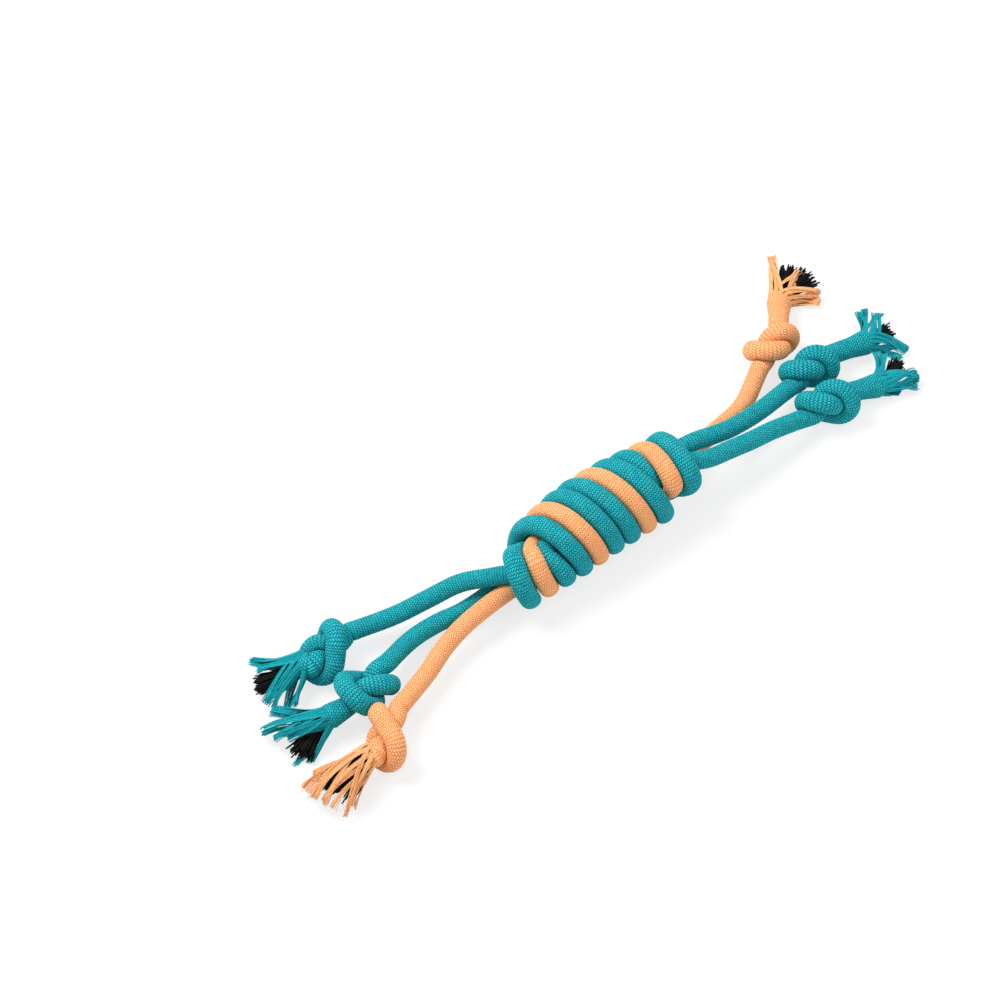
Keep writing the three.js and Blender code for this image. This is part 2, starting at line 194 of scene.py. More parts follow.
print("solids", len(frame["nodes"]), "bodies", len(frame["bodies"]))

# %% [markdown]
# ## Camera
# The photograph looks down at the toy from far away, so the lens is long and parallel lines stay
# nearly parallel. The camera aims beside the barrel, which puts the toy where it lies in the frame.

# %% Camera
BARREL_MIDDLE = Vector((0.00244, 0, 0.0196))
CAMERA_DISTANCE = 3
AZIMUTH, ELEVATION = -37, 56
AIM_LEFT, AIM_UP = 0.0453, 0.0095
SENSOR_WIDTH_MM, LENS_MM = 36, 223

camera = new_object("camera", bpy.data.cameras.new("camera"))
camera.data.sensor_width = SENSOR_WIDTH_MM
camera.data.lens = LENS_MM
camera.rotation_euler = np.radians((90 - ELEVATION, 0, AZIMUTH))
right, up, back = camera.rotation_euler.to_matrix().transposed()
camera.location = BARREL_MIDDLE - AIM_LEFT * right + AIM_UP * up + CAMERA_DISTANCE * back
bpy.context.scene.camera = camera
print("camera at", [round(v, 3) for v in camera.location])

# %% [markdown]
# ## Where the ropes run
# A rope is one unbroken line, so its shape is its route. Each rope comes in from its left leg,
# runs through the barrel, winds back round it four times, runs through it again and goes out as
# its right leg. The same sizes and routes made the solids, apart from a few millimetres in the
# legs, knots, tails and end turns, which lie here as photographed.

# %% Sizes
ROPE_D = 0.009
PRESSED_D = 0.66 * ROPE_D
KNOTTED_D = 0.8 * ROPE_D
CLEARANCE = 0.0006
TURN_GAP = 0.00075
TURN_PITCH = ROPE_D + TURN_GAP
STRAND_RING_R = (PRESSED_D + CLEARANCE) / np.sin(np.pi / 3)
WIND_R = STRAND_RING_R + PRESSED_D / 2 + CLEARANCE + ROPE_D / 2
BULGE = 0.155 * ROPE_D
AXIS_Z = WIND_R + BULGE + 0.4 * ROPE_D
TURN_STEP = 15
MID_TURN = 570
MID_X = TURN_PITCH / 4
CHAIN_STEP = 2 * np.pi * WIND_R * TURN_STEP / 360
KNOT_APART = KNOTTED_D + CLEARANCE
KNOT_LEAD = 1.9 * KNOT_APART
FLOOR_GAP = 0.00005
print("winding radius in mm", round(1000 * WIND_R, 2))

# %% [markdown]
# ### One table for three ropes
# A table keeps what differs between the ropes apart from the code that is the same for all.
# "through" and "back" are the angles of a rope's two passes at both ends of the barrel. A leg has
# points from the barrel to the knot, and a lifted leg is straight again at the point "bend_to".
# The rope is cut at "tail", and lies along "heading" there.

# %% Routes
ROPES = [
    dict(
        name="teal_a", slot="teal_rope", turn=0,
        through=(60, 60), back=(-120, -60), via_centre=True,
        left=dict(
            leg=[(-0.0583, 0.0022, 0.0215), (-0.0708, 0.01, 0.0185),
                 (-0.0868, 0.0142, 0.0145), (-0.1041, 0.0175, 0.012)],
            bend_to=1, knot=(-0.1423, 0.021), size=0.98, yaw=17, roll=35,
            tail=(-0.157, 0.0235), heading=(-20, -4),
        ),
        right=dict(
            leg=[(0.0657, 0.005, 0.026), (0.0776, 0.0034, 0.0232),
                 (0.0893, 0.0031, 0.0186), (0.1072, 0.0048, 0.014)],
            bend_to=1, knot=(0.1457, 0.0115), size=0.89, yaw=0, roll=270,
            tail=(0.1836, 0.0102), heading=(20, 2),
        ),
    ),
    dict(
        name="orange", slot="orange_rope", turn=1,
        through=(120, 120), back=(-60, -120), via_centre=False,
        left=dict(
            leg=[(-0.0583, -0.0058, 0.0155), (-0.08, -0.0072, 0.013),
                 (-0.0956, -0.0111, 0.0115), (-0.1105, -0.0173, 0.0105)],
            bend_to=1, knot=(-0.148, -0.0348), size=1.07, yaw=8, roll=85,
            tail=(-0.162, -0.039), heading=(-36, -9),
        ),
        right=dict(
            leg=[(0.0667, 0.0097, 0.0105), (0.0788, 0.012, 0.0068),
                 (0.0933, 0.0138, 0.0052), (0.1083, 0.0169, 0.006)],
            bend_to=2, knot=(0.1393, 0.0337), size=0.9, yaw=0, roll=300,
            tail=(0.163, 0.0564), heading=(15, 9),
        ),
    ),
    dict(
        name="teal_b", slot="teal_rope", turn=2,
        through=(180, 180), back=(0, 0), via_centre=False,
        left=dict(
            leg=[(-0.0583, 0.0009, 0.01), (-0.0746, 0.0009, 0.009),
                 (-0.0906, 0.0032, 0.009), (-0.1046, 0.0032, 0.009)],
            bend_to=2, knot=(-0.1405, -0.007), size=1.12, yaw=0, roll=190,
            tail=(-0.1655, -0.0085), heading=(-25, -3),
        ),
        right=dict(
            leg=[(0.0657, -0.006, 0.0242), (0.0786, -0.0078, 0.0222),
                 (0.0919, -0.009, 0.019), (0.1054, -0.009, 0.016)],
            bend_to=1, knot=(0.1398, -0.0103), size=0.96, yaw=0, roll=270,
            tail=(0.1714, -0.0145), heading=(20, -2),
        ),
    ),
]
SIDES_OF_TOY = ("left", "right")
print("ropes", [rope["name"] for rope in ROPES])

# %% [markdown]
# ### Going under
# At both ends of the barrel the first turn of a rope goes under the second and becomes a pass.
# Each row has an angle round the barrel, how far the rope has sunk from 0 to 1, and its place
# along the axis in pitches. The ends of a knot tied by hand aren't the same: at the left the
# first turns are drawn out further, and at the right they go under later.

# %% Sinking under the second turn
SINK = [
    [
        (-120, 1, -1.9), (-120, 1, -2.6), (-116, 1, -3.2), (-105, 1, -3.6), (-88, 1, -3.85),
        (-72, 1, -4.1), (-57, 1, -4.3), (-44, 0.95, -4.5), (-30, 0.75, -4.68), (-15, 0.42, -4.85),
        (0, 0.12, -4.98), (15, 0, -5.05), (40, 0, -5.1), (65, 0, -5.1), (90, 0, -5.05),
    ],
    [
        (-60, 1, -1.3), (-60, 1, -2), (-56, 1, -2.6), (-46, 1, -3.05), (-32, 1, -3.4),
        (-18, 1, -3.65), (-5, 0.9, -3.82), (7, 0.6, -3.93), (18, 0.26, -4), (30, 0.05, -4.02),
        (60, 0, -4), (90, 0, -3.93),
    ],
    [
        (0, 1, -1.4), (0, 1, -2.1), (4, 1, -2.7), (14, 1, -3.1), (28, 1, -3.35), (42, 0.93, -3.4),
        (56, 0.75, -3.35), (70, 0.42, -3.25), (84, 0.12, -3.12), (100, 0, -2.98),
    ],
]
DRAWN_OUT = [(0.25, 130, 250), (0.12, 118, 300), (0.12, 118, 300)]
DRAWN_FURTHER = {"left": (0.36, 0.38, 0.1), "right": (-0.27, 0.04, 0)}
FURTHER_FROM, FURTHER_UP_TO = (-30, 50), (130, 65)
UNDER_LATER = {"left": (0, 0, 0), "right": (8, 15, 0)}
LATER_FROM, LATER_UP_TO = (-60, -20), (100, 40)


def ramp(start, end, t):
    """A smooth step from 0 to 1 between start and end."""
    t = np.clip((t - start) / (end - start), 0, 1)
    return t * t * (3 - 2 * t)


def mix(a, b, t):
    return a + (b - a) * t


def drawn_out(turn, degrees):
    """How far a rope's first turns are drawn out towards the barrel's end, in pitches."""
    pitches, until, gone_by = DRAWN_OUT[turn]
    return -pitches * (1 - ramp(until, gone_by, degrees))


def as_tied(turn, side):
    """The rows of a sink, changed a little to how that end of the barrel was tied."""
    for degrees, sunk, pitches in SINK[turn]:
        further = DRAWN_FURTHER[side][turn] * ramp(*FURTHER_FROM, degrees)
        further *= ramp(*FURTHER_UP_TO, degrees)
        later = UNDER_LATER[side][turn] * ramp(*LATER_FROM, degrees)
        later *= ramp(*LATER_UP_TO, degrees)
        yield degrees - later, sunk, pitches - further


print("rows of each sink", [len(rows) for rows in SINK])

# %% [markdown]
# ## The barrel
# The ends of a barrel knot are alike but for how they were pulled. So one function makes a half
# for either side, and the right half is turned over about the middle. Inside, six pressed strands
# stand in a ring.

# %% Winding and strands
BARREL_HALF = 4.2
ON_TOP_FROM = 120
STRAND_POINTS = 25
ROUND_THE_RING, TO_CENTRE, AT_CENTRE, FROM_CENTRE = (1.4, 3.7), (0.2, 1.6), (2.5, 2.7), (3.5, 4.9)


def round_axis(along, radius, degrees):
    angle = np.radians(degrees)
    y, z = -radius * np.sin(angle), AXIS_Z + radius * np.cos(angle)
    return np.stack([along + MID_X, y, z], axis=-1)


def wound_radius(pitches):
    """The barrel is a little thicker in its middle than at its ends."""
    return WIND_R + BULGE * max(0, 1 - (pitches / BARREL_HALF) ** 2)


def half_winding(turn, side):
    """Rows of place along the axis, radius, angle and depth sunk, from the strand to the middle."""
    rows = [(p * TURN_PITCH, mix(wound_radius(p), STRAND_RING_R, sunk), angle, sunk)
            for angle, sunk, p in as_tied(turn, side)]
    for angle in range(ON_TOP_FROM, MID_TURN, TURN_STEP):
        along = turn - 1 + len(ROPES) * (angle - MID_TURN) / 360 + drawn_out(turn, angle)
        rows.append((along * TURN_PITCH, wound_radius(along), angle, 0))
    return np.array(rows)


def winding(turn):
    """The points of a rope's turns from left to right, and its radius at each."""
    left_half = half_winding(turn, "left")
    right_half = half_winding(2 - turn, "right")[::-1] * (-1, 1, -1, 1) + (0, 0, 2 * MID_TURN, 0)
    along, radius, angle, sunk = np.vstack([left_half, right_half]).T
    return round_axis(along, radius, angle), mix(ROPE_D, PRESSED_D, sunk) / 2


def strand(angles, via_centre, from_x, to_x):
    """A pass through the barrel. One that has to change sides does so on the barrel's axis."""
    along = np.linspace(from_x, to_x, STRAND_POINTS)
    pitches = along / TURN_PITCH
    if via_centre:
        angle = mix(*angles, ramp(*AT_CENTRE, pitches))
        out = 1 - ramp(*TO_CENTRE, pitches) + ramp(*FROM_CENTRE, pitches)
    else:
        angle = mix(*angles, ramp(*ROUND_THE_RING, pitches))
        out = 1
    return round_axis(along, STRAND_RING_R * out, angle)


print("points in one winding", len(winding(0)[0]))

# %% [markdown]
# ## Drawing up a knot
# An overhand knot has no simple formula. A loose one is drawn as a curve, and its ends are then
# pulled while the rope is kept from passing through itself, as hands do it.

# %% Overhand knot
CURVE_END = 2.15
CURVE_POINTS = 73
NEIGHBOURS = 7
KNOT_ROUNDS, PULL_ROUNDS, PUSHES_A_ROUND = 1400, 600, 4
KNOT_EVENED, CROWDED = 0.3, 0.6
LOOSE_SHAPE = (1, 0.75, 0.26)


def push_apart(points, pairs, least, held):
    """Moves points that are closer than their least distance away from each other."""
    between = points[pairs[0]] - points[pairs[1]]
    distance = np.linalg.norm(between, axis=1)
    close = distance < least
    first, second = pairs[0][close], pairs[1][close]
    push = between[close] * (0.5 * (least[close] - distance[close]) / distance[close])[:, None]
    moved = np.zeros_like(points)
    hits = np.bincount(first, minlength=len(points)) + np.bincount(second, minlength=len(points))
    for axis in range(3):
        moved[:, axis] += np.bincount(first, push[:, axis], len(points))
        moved[:, axis] -= np.bincount(second, push[:, axis], len(points))
    moved /= np.maximum(1, CROWDED * hits)[:, None]
    moved[held] = 0
    return points + moved


def overhand_knot(lead, apart):
    """An overhand knot on the X axis, drawn up until the rope lies against itself."""
    t = np.linspace(-CURVE_END, CURVE_END, CURVE_POINTS)
    loose_curve = [t**3 - 3 * t, t**4 - 4 * t**2 + 2, t**5 - 10 * t]
    points = np.stack(loose_curve, axis=1) * LOOSE_SHAPE * apart
    pairs = np.triu_indices(len(t), NEIGHBOURS)
    least = np.full(len(pairs[0]), apart)
    held = np.array([0, len(t) - 1])
    loose_ends = points[held].copy()
    drawn_ends = np.array([(-lead, 0, 0), (lead, 0, 0)])
    for turn in range(KNOT_ROUNDS):
        points[held] = mix(loose_ends, drawn_ends, min(1, turn / PULL_ROUNDS))
        points[1:-1] = mix(points[1:-1], (points[:-2] + points[2:]) / 2, KNOT_EVENED)
        for _ in range(PUSHES_A_ROUND):
            points = push_apart(points, pairs, least, held)
    return points


KNOT_POINTS = overhand_knot(KNOT_LEAD, KNOT_APART)
print("knot across in mm", np.round(1000 * np.ptp(KNOT_POINTS, axis=0), 1))

# %% [markdown]
# ### Laying the knots down
# All six knots are one curve. Each is turned its own way, scaled a little and let down until it
# touches the floor, and a short tail goes on from it to where the rope is cut.

# %% Placing the knots
KEPT_OF_KNOT = 1.45 * KNOT_APART
TAIL_FALL = 0.2
TAIL_DIP = (0, 0, -0.25)
LEAD_OUT = 0.004
UPWARDS = np.array([0, 0, 1])


def unit(vectors):
    return vectors / np.linalg.norm(vectors, axis=-1, keepdims=True)


def place_knot(end):
    """The points of a leg's knot and tail, resting on the floor, and the way its tassel lies."""
    centre = np.array([*end["knot"], 0])
    x, y = unit(centre[:2] - end["leg"][-1][:2])
    yaw, roll = np.radians(end["yaw"]), np.radians(end["roll"])
    axis = np.array([x * np.cos(yaw) - y * np.sin(yaw), x * np.sin(yaw) + y * np.cos(yaw), 0])
    side = np.array([-axis[1], axis[0], 0])
    across = np.cos(roll) * side + np.sin(roll) * UPWARDS
    above = np.cos(roll) * UPWARDS - np.sin(roll) * side
    near = np.linalg.norm(KNOT_POINTS - KNOT_POINTS[0], axis=1) < KNOT_LEAD
    kept = KNOT_POINTS[near | (KNOT_POINTS[:, 0] < KEPT_OF_KNOT)]
    points = centre + end["size"] * kept @ np.array([axis, across, above])
    points[:, 2] += KNOTTED_D / 2 + FLOOR_GAP - points[:, 2].min()
    fall = TAIL_FALL * np.linalg.norm(points[-1, :2] - end["tail"])
    tail = np.array([*end["tail"], max(ROPE_D / 2 + FLOOR_GAP, points[-1, 2] - fall)])
    tangent = unit(unit(np.array([*end["heading"], 0])) + TAIL_DIP)
    points = np.vstack([points, tail, tail + LEAD_OUT * tangent])
    return {"points": points, "tail": tail, "tangent": tangent}


ENDS = [{side: place_knot(rope[side]) for side in SIDES_OF_TOY} for rope in ROPES]
print("knots", sum(len(ends) for ends in ENDS))

# %% [markdown]
# ## Settling the ropes
# Laid end to end, the parts of a rope make one chain of points. The chains are then moved until
# no two ropes are closer than they can lie, which is what a knot does when it is pulled tight.

# %% One chain per rope
PARTS = ["knot_left", "leg_left", "pass_in", "winding", "pass_out", "leg_right", "knot_right"]
KNOT_LEFT, LEG_LEFT, PASS_IN, WINDING, PASS_OUT, LEG_RIGHT, KNOT_RIGHT = range(len(PARTS))
MOUTH = 4.75 * TURN_PITCH
CURVE_STEPS = 24


def smooth_line(points, step):
    """Even steps along a smooth curve through the points, and their places among them."""
    ends = 2 * points[[0, -1]] - points[[1, -2]]
    p = np.vstack([ends[:1], points, ends[1:]])
    knots = np.append(0, np.cumsum(np.linalg.norm(np.diff(p, axis=0), axis=1) ** 0.5))
    place = (np.arange(len(points) - 1)[:, None] + np.arange(CURVE_STEPS) / CURVE_STEPS).ravel()
    place = np.append(place, len(points) - 1)
    i = np.minimum(place.astype(int), len(points) - 2)
    t0, t1, t2, t3 = (knots[i + k][:, None] for k in range(4))
    p0, p1, p2, p3 = (p[i + k] for k in range(4))
    t = t1 + (place - i)[:, None] * (t2 - t1)

    def weigh(from_t, to_t, from_p, to_p):
        return ((to_t - t) * from_p + (t - from_t) * to_p) / (to_t - from_t)

    a, b, c = weigh(t0, t1, p0, p1), weigh(t1, t2, p1, p2), weigh(t2, t3, p2, p3)
    line = weigh(t1, t2, weigh(t0, t2, a, b), weigh(t1, t3, b, c))
    along = np.append(0, np.cumsum(np.linalg.norm(np.diff(line, axis=0), axis=1)))
    even = np.linspace(0, along[-1], max(3, round(along[-1] / step) + 1))
    line = np.stack([np.interp(even, along, line[:, axis]) for axis in range(3)], axis=1)
    return line, np.interp(even, along, place)


def rope_chain(rope, ends):
    """One rope from its left knot to its right one: points, radius and part of each."""
    wound, wound_r = winding(rope["turn"])
    through = strand(rope["through"], False, -MOUTH, wound[-1, 0] - MID_X)
    back_again = strand(rope["back"], rope["via_centre"], wound[0, 0] - MID_X, MOUTH)
    left_leg = np.vstack([ends["left"]["points"][:1], rope["left"]["leg"][::-1]])
    right_leg = np.vstack([rope["right"]["leg"], ends["right"]["points"][:1]])
    stretches = [
        (left_leg, ROPE_D / 2, LEG_LEFT),
        (through[:-1], PRESSED_D / 2, PASS_IN),
        (wound[:0:-1], wound_r[:0:-1], WINDING),
        (back_again[:-1], PRESSED_D / 2, PASS_OUT),
        (back_again[-1:], PRESSED_D / 2, LEG_RIGHT),
        (right_leg, ROPE_D / 2, LEG_RIGHT),
    ]
    points = np.vstack([s[0] for s in stretches])
    radius = np.concatenate([np.broadcast_to(s[1], len(s[0])) for s in stretches])
    part = np.concatenate([np.full(len(s[0]), s[2]) for s in stretches])
    line, place = smooth_line(points, CHAIN_STEP)
    at = np.minimum(place.astype(int), len(points) - 2)
    return line, np.interp(place, np.arange(len(points)), radius), part[at]


CHAINS = [rope_chain(rope, ends) for rope, ends in zip(ROPES, ENDS)]
print("beads in each chain", [len(chain[0]) for chain in CHAINS])

# %% Settling
NEAR = 2.2 * ROPE_D
SETTLING_ROUNDS, SMOOTHING_ROUNDS = 240, 180
KEPT_MOVE, EVENED, HELD_BEADS = 0.98, 0.4, 2

beads = [len(chain[0]) for chain in CHAINS]
chain_of = np.repeat(range(len(CHAINS)), beads)
index_of = np.concatenate([np.arange(count) for count in beads])
routed, bead_r, bead_part = map(np.concatenate, zip(*CHAINS))
last_of = np.array(beads)[chain_of] - 1
held = np.flatnonzero((index_of < HELD_BEADS) | (index_of > last_of - HELD_BEADS))
loose = np.setdiff1d(np.arange(len(routed)), held)
on_leg = (bead_part == LEG_LEFT) | (bead_part == LEG_RIGHT)

pairs = np.triu_indices(len(routed), 1)
apart = np.linalg.norm(routed[pairs[0]] - routed[pairs[1]], axis=1)
same_chain = chain_of[pairs[0]] == chain_of[pairs[1]]
close_along = np.abs(index_of[pairs[0]] - index_of[pairs[1]]) < np.ceil(NEAR / CHAIN_STEP)
keep = ~(same_chain & close_along) & (apart < NEAR)
pairs = (pairs[0][keep], pairs[1][keep])
least = bead_r[pairs[0]] + bead_r[pairs[1]] + CLEARANCE

settled = routed.copy()
for turn in range(SETTLING_ROUNDS):
    if turn < SMOOTHING_ROUNDS:
        moved = settled - routed
        between = (moved[loose - 1] + moved[loose + 1]) / 2
        settled[loose] = routed[loose] + KEPT_MOVE * mix(moved[loose], between, EVENED)
    settled = push_apart(settled, pairs, least, held)
    settled[on_leg, 2] = np.maximum(settled[on_leg, 2], ROPE_D / 2 + FLOOR_GAP)
gap = np.linalg.norm(settled[pairs[0]] - settled[pairs[1]], axis=1) - least + CLEARANCE
print("least gap between ropes in mm", round(1000 * gap.min(), 2))

# %% [markdown]
# ### The tighter end
# In the photograph the barrel is a little thinner at its left end, and slightly bowed. It is
# enough to move the settled points, because all the meshes are made from them.

# %% The tighter end
FRONT_Y = -0.0185
TIGHT_END, TIGHTENS_OVER, LEG_LEFT_OUT = 0.08, (-0.006, -0.045), (-0.052, -0.044)
BOW, BOWS_OVER, BOWS_BACK_OVER = 0.0012, (-0.020, 0.005), (0.015, 0.055)
LEG_BOWS_UNTIL = (0.095, 0.070)

x = settled[:, 0].copy()
drawn_in = TIGHT_END * ramp(*TIGHTENS_OVER, x)
drawn_in[on_leg] *= ramp(*LEG_LEFT_OUT, x[on_leg])
bowed = BOW * ramp(*BOWS_OVER, x) * (1 - 2 * ramp(*BOWS_BACK_OVER, x))
bowed[on_leg] *= ramp(*LEG_BOWS_UNTIL, x[on_leg])
settled[:, 1] += bowed
settled[:, 1] -= drawn_in * (settled[:, 1] - FRONT_Y)
settled[:, 2] -= drawn_in * settled[:, 2]
print("drawn in by up to", round(drawn_in.max(), 3))

# %% [markdown]
# ## Fine lines
# Each rope becomes one fine line from tassel to tassel. A pair of cross directions is carried
# along it without twisting, so that the braid runs on evenly through every bend and knot.

# %% Fine lines
ROUND = np.pi * ROPE_D
SIDES = 66
RING_STEP = ROUND / SIDES


def carried_directions(line):
    """The tangent of each point and two cross directions, carried along without twisting."""
    tangent = unit(np.gradient(line, axis=0))
    normal = np.zeros_like(line)
    carried = np.cross(tangent[0], UPWARDS)
    for i, t in enumerate(tangent):
        carried = unit(carried - t * (carried @ t))
        normal[i] = carried
    return tangent, normal, np.cross(tangent, normal)


def fine_rope(k):
    """A rope's fine line with its directions and the part that each point belongs to."""
    mine = chain_of == k
    before, after = ENDS[k]["left"]["points"][:0:-1], ENDS[k]["right"]["points"][1:]
    points = np.vstack([before, settled[mine], after])
    part = np.concatenate([[KNOT_LEFT] * len(before), bead_part[mine], [KNOT_RIGHT] * len(after)])
    line, place = smooth_line(points, RING_STEP)
    line_part = part[np.minimum((place + 0.5).astype(int), len(part) - 1)]
    inside = (place >= 1) & (place <= len(points) - 2)
    return line[inside], line_part[inside], *carried_directions(line[inside])


FINE = [fine_rope(k) for k in range(len(ROPES))]
all_line, all_part, all_tangent, all_normal, all_across = map(np.concatenate, zip(*FINE))
rings = [len(fine[0]) for fine in FINE]
all_rope = np.repeat(range(len(ROPES)), rings)
all_along = RING_STEP * np.concatenate([np.arange(count) for count in rings])
print("rope lengths in m", [round(RING_STEP * count, 3) for count in rings])

# %% [markdown]
# ## Soft cross-sections
# Soft rope doesn't stay round where it is pressed. Each ring starts as a circle, and in every
# direction it may reach only to the plane half-way to the next rope, to the floor, or to the
# middle of its own bend. So turns that touch press each other flat, with no gap and no overlap.
# Towards the cut the braid has come open, and the last few rings close on the yarns inside.

# %% Full rings
FULL_R = np.array([0.005, 0.0045, 0.0034, 0.0046, 0.0034, 0.0045, 0.005])
EVENED_OVER = 31
OPENED = 1.24
OPENS_FROM, OPEN_AT = 0.014, 0.001


def rings_to_end(count):
    """How many rings each ring is from the nearer end of its rope."""
    return np.minimum(np.arange(count), np.arange(count)[::-1])


def full_radius(part):
    """The radius of each ring of one rope where nothing presses it."""
    padded = np.pad(FULL_R[part], EVENED_OVER // 2, mode="edge")
    evened = np.convolve(padded, np.ones(EVENED_OVER) / EVENED_OVER, mode="valid")
    return evened * mix(1, OPENED, ramp(OPENS_FROM, OPEN_AT, RING_STEP * rings_to_end(len(part))))


full_r = np.concatenate([full_radius(part) for _, part, *_ in FINE])
print("full radius in mm from", round(1000 * full_r.min(), 2), "to", round(1000 * full_r.max(), 2))

# %% Pressing the rings
WIDER_WHEN_WOUND = 0.0007
SOFTNESS = 7
TOUCHING = 0.0115
SAME_STRETCH = 2 * ROPE_D
OWN_BEND = 0.9
POST_EVERY = 4
ROWS_AT_ONCE = 400
SMOOTHED_OVER = 7
FRAYED, FRAYED_RINGS = 0.74, 7

ring_angle = 2 * np.pi * np.arange(SIDES) / SIDES
posts = np.arange(0, len(all_line), POST_EVERY)
curving = np.gradient(all_tangent, axis=0) / RING_STEP


def ring_directions(rows):
    """The directions from the middle of each ring to its corners."""
    return (np.cos(ring_angle)[None, :, None] * all_normal[rows, None]
            + np.sin(ring_angle)[None, :, None] * all_across[rows, None])


def pressed_rings(rows):
    """How far each corner of some rings reaches, with all that presses on it."""
    out = ring_directions(rows)
    reach = np.broadcast_to(full_r[rows, None], out.shape[:2]).copy()
    reach += WIDER_WHEN_WOUND * (all_part[rows] == WINDING)[:, None] * out[:, :, 0] ** 2
    pressed = reach**-SOFTNESS
    to_post = all_line[posts][None] - all_line[rows][:, None]
    far = np.linalg.norm(to_post, axis=2)
    same = (all_rope[rows][:, None] == all_rope[posts]) & (
        np.abs(all_along[rows][:, None] - all_along[posts]) < SAME_STRETCH)
    i, j = np.nonzero((far < TOUCHING) & ~same)
    if len(i):
        share = full_r[rows[i]] / (full_r[rows[i]] + full_r[posts[j]])
        toward = np.einsum("pka,pa->pk", out[i], to_post[i, j] / far[i, j][:, None])
        closer = np.maximum(toward, 0) / (share * far[i, j])[:, None]
        first = np.flatnonzero(np.diff(i, prepend=-1))
        pressed[i[first]] += np.maximum.reduceat(closer, first, axis=0) ** SOFTNESS
    pressed += np.maximum(0, np.einsum("rka,ra->rk", out, curving[rows]) / OWN_BEND) ** SOFTNESS
    pressed += np.maximum(0, -out[:, :, 2] / (all_line[rows, 2] - FLOOR_GAP)[:, None]) ** SOFTNESS
    return pressed ** (-1 / SOFTNESS)


ring_r = np.zeros((len(all_line), SIDES), np.float32)
for start in range(0, len(all_line), ROWS_AT_ONCE):
    rows = np.arange(start, min(start + ROWS_AT_ONCE, len(all_line)))
    ring_r[rows] = pressed_rings(rows)
for k in range(len(ROPES)):
    mine = np.flatnonzero(all_rope == k)
    padded = np.pad(ring_r[mine], ((SMOOTHED_OVER // 2, SMOOTHED_OVER // 2), (0, 0)), mode="edge")
    ring_r[mine] = sum(padded[n:n + len(mine)] for n in range(SMOOTHED_OVER)) / SMOOTHED_OVER
    ring_r[mine] *= np.interp(rings_to_end(len(mine)), (0, FRAYED_RINGS), (FRAYED, 1))[:, None]
print("ring radius in mm from", round(1000 * ring_r.min(), 2), "to", round(1000 * ring_r.max(), 2))

# %% [markdown]
# ## The braid
# The cover is a regular braid. Half of its yarns run round the rope one way and half the other
# way, and each passes over two and under two. A bump in the material could stand in for it, but
# the outline would stay smooth. So the height of the yarn on top is worked out for each place,
# and it is real relief in the mesh. Three corners of each ring fall on every yarn, one of them
# on its crown, so few faces are enough.

# %% Braid relief
YARNS_EACH_WAY = SIDES // 3
RELIEF = 0.0005
MEAN_HEIGHT = 0.6
YARN_ROUNDING, YARN_DIP = 0.9, 0.75


def braid_height(u, v):
    """Height from 0 to 1 of the yarn on top, at a place round and along the rope, in rounds."""
    a = YARNS_EACH_WAY * (v + u)
    b = YARNS_EACH_WAY * (v - u)
    fa, fb = a % 1, b % 1
    step = (np.floor(a) + np.floor(b)) % 4
    first_on_top = step < 2
    over = np.where(first_on_top, step + fb, step - 2 + fa) - 1
    wide = np.where(first_on_top, fa, fb) * 2 - 1
    return np.sqrt(np.maximum(0, 1 - YARN_ROUNDING * wide**2)) * (1 - YARN_DIP * np.abs(over) ** 3)


print("stitch in mm", round(1000 * ROUND / YARNS_EACH_WAY, 2))

# %% Rope mesh
def tube_faces(along, sides):
    """The quads of some tubes, and for each corner its tube, its place round it and along it."""
    count, points = along.shape
    y, i, k = np.meshgrid(np.arange(count), np.arange(points - 1), np.arange(sides), indexing="ij")
    first = (y * points + i) * sides
    n = (k + 1) % sides
    quads = np.stack([first + k, first + n, first + sides + n, first + sides + k], axis=-1)
    round_it = np.stack([k, k + 1, k + 1, k], axis=-1)
    along_it = np.stack([along[y, i], along[y, i], along[y, i + 1], along[y, i + 1]], axis=-1)
    return quads.reshape(-1, 4), y[..., None], round_it, along_it


def new_piece(name, corners, faces, layer_name, uv):
    """A smooth mesh object with one UV map."""
    mesh = bpy.data.meshes.new(name)
    mesh.from_pydata(corners.reshape(-1, 3), [], faces)
    layer = mesh.uv_layers.new(name=layer_name)
    layer.data.foreach_set("uv", uv.astype(np.float32).ravel())
    mesh.shade_smooth()
    return new_object(name, mesh)


def rope_mesh(name, rows):
    """A braided tube through a stretch of rings, with its place round and along as UV."""
    u = (np.arange(SIDES) + 0.5) / SIDES
    v = all_along[rows] / ROUND
    reach = ring_r[rows] + RELIEF * (braid_height(u[None], v[:, None]) - MEAN_HEIGHT)
    corners = all_line[rows, None] + reach[:, :, None] * ring_directions(rows)
    corners[:, :, 2] = np.maximum(corners[:, :, 2], FLOOR_GAP)
    quads, _, round_it, along_it = tube_faces(v[None], SIDES)
    uv = np.stack([(round_it + 0.5) / SIDES, along_it], axis=-1)
    return new_piece(name, corners, quads, "braid", uv)


print("corners in a ring", SIDES)

# %% [markdown]
# ## Cotton
# Real rope doesn't look even. Light stays on the crowns of the yarns and is lost in the
# pits between them, some yarns took the dye better than others, and each yarn is a few plies
# laid side by side. The mesh is too coarse for that, so a node group draws the braid once more,
# from the UV map. It paints a highlight on the crowns and shade in the pits and between the plies,
# and both rope colours use it with their own values.

# %% Node helpers
def new_group(name, inputs, outputs):
    """An empty shader node group with named sockets, what it is given and its output node."""
    group = bpy.data.node_groups.new(name, "ShaderNodeTree")
    for in_out, sockets in (("INPUT", inputs), ("OUTPUT", outputs)):
        for title, kind in sockets.items():
            group.interface.new_socket(title, in_out=in_out, socket_type="NodeSocket" + kind)
    return group, group.nodes.new("NodeGroupInput").outputs, group.nodes.new("NodeGroupOutput")


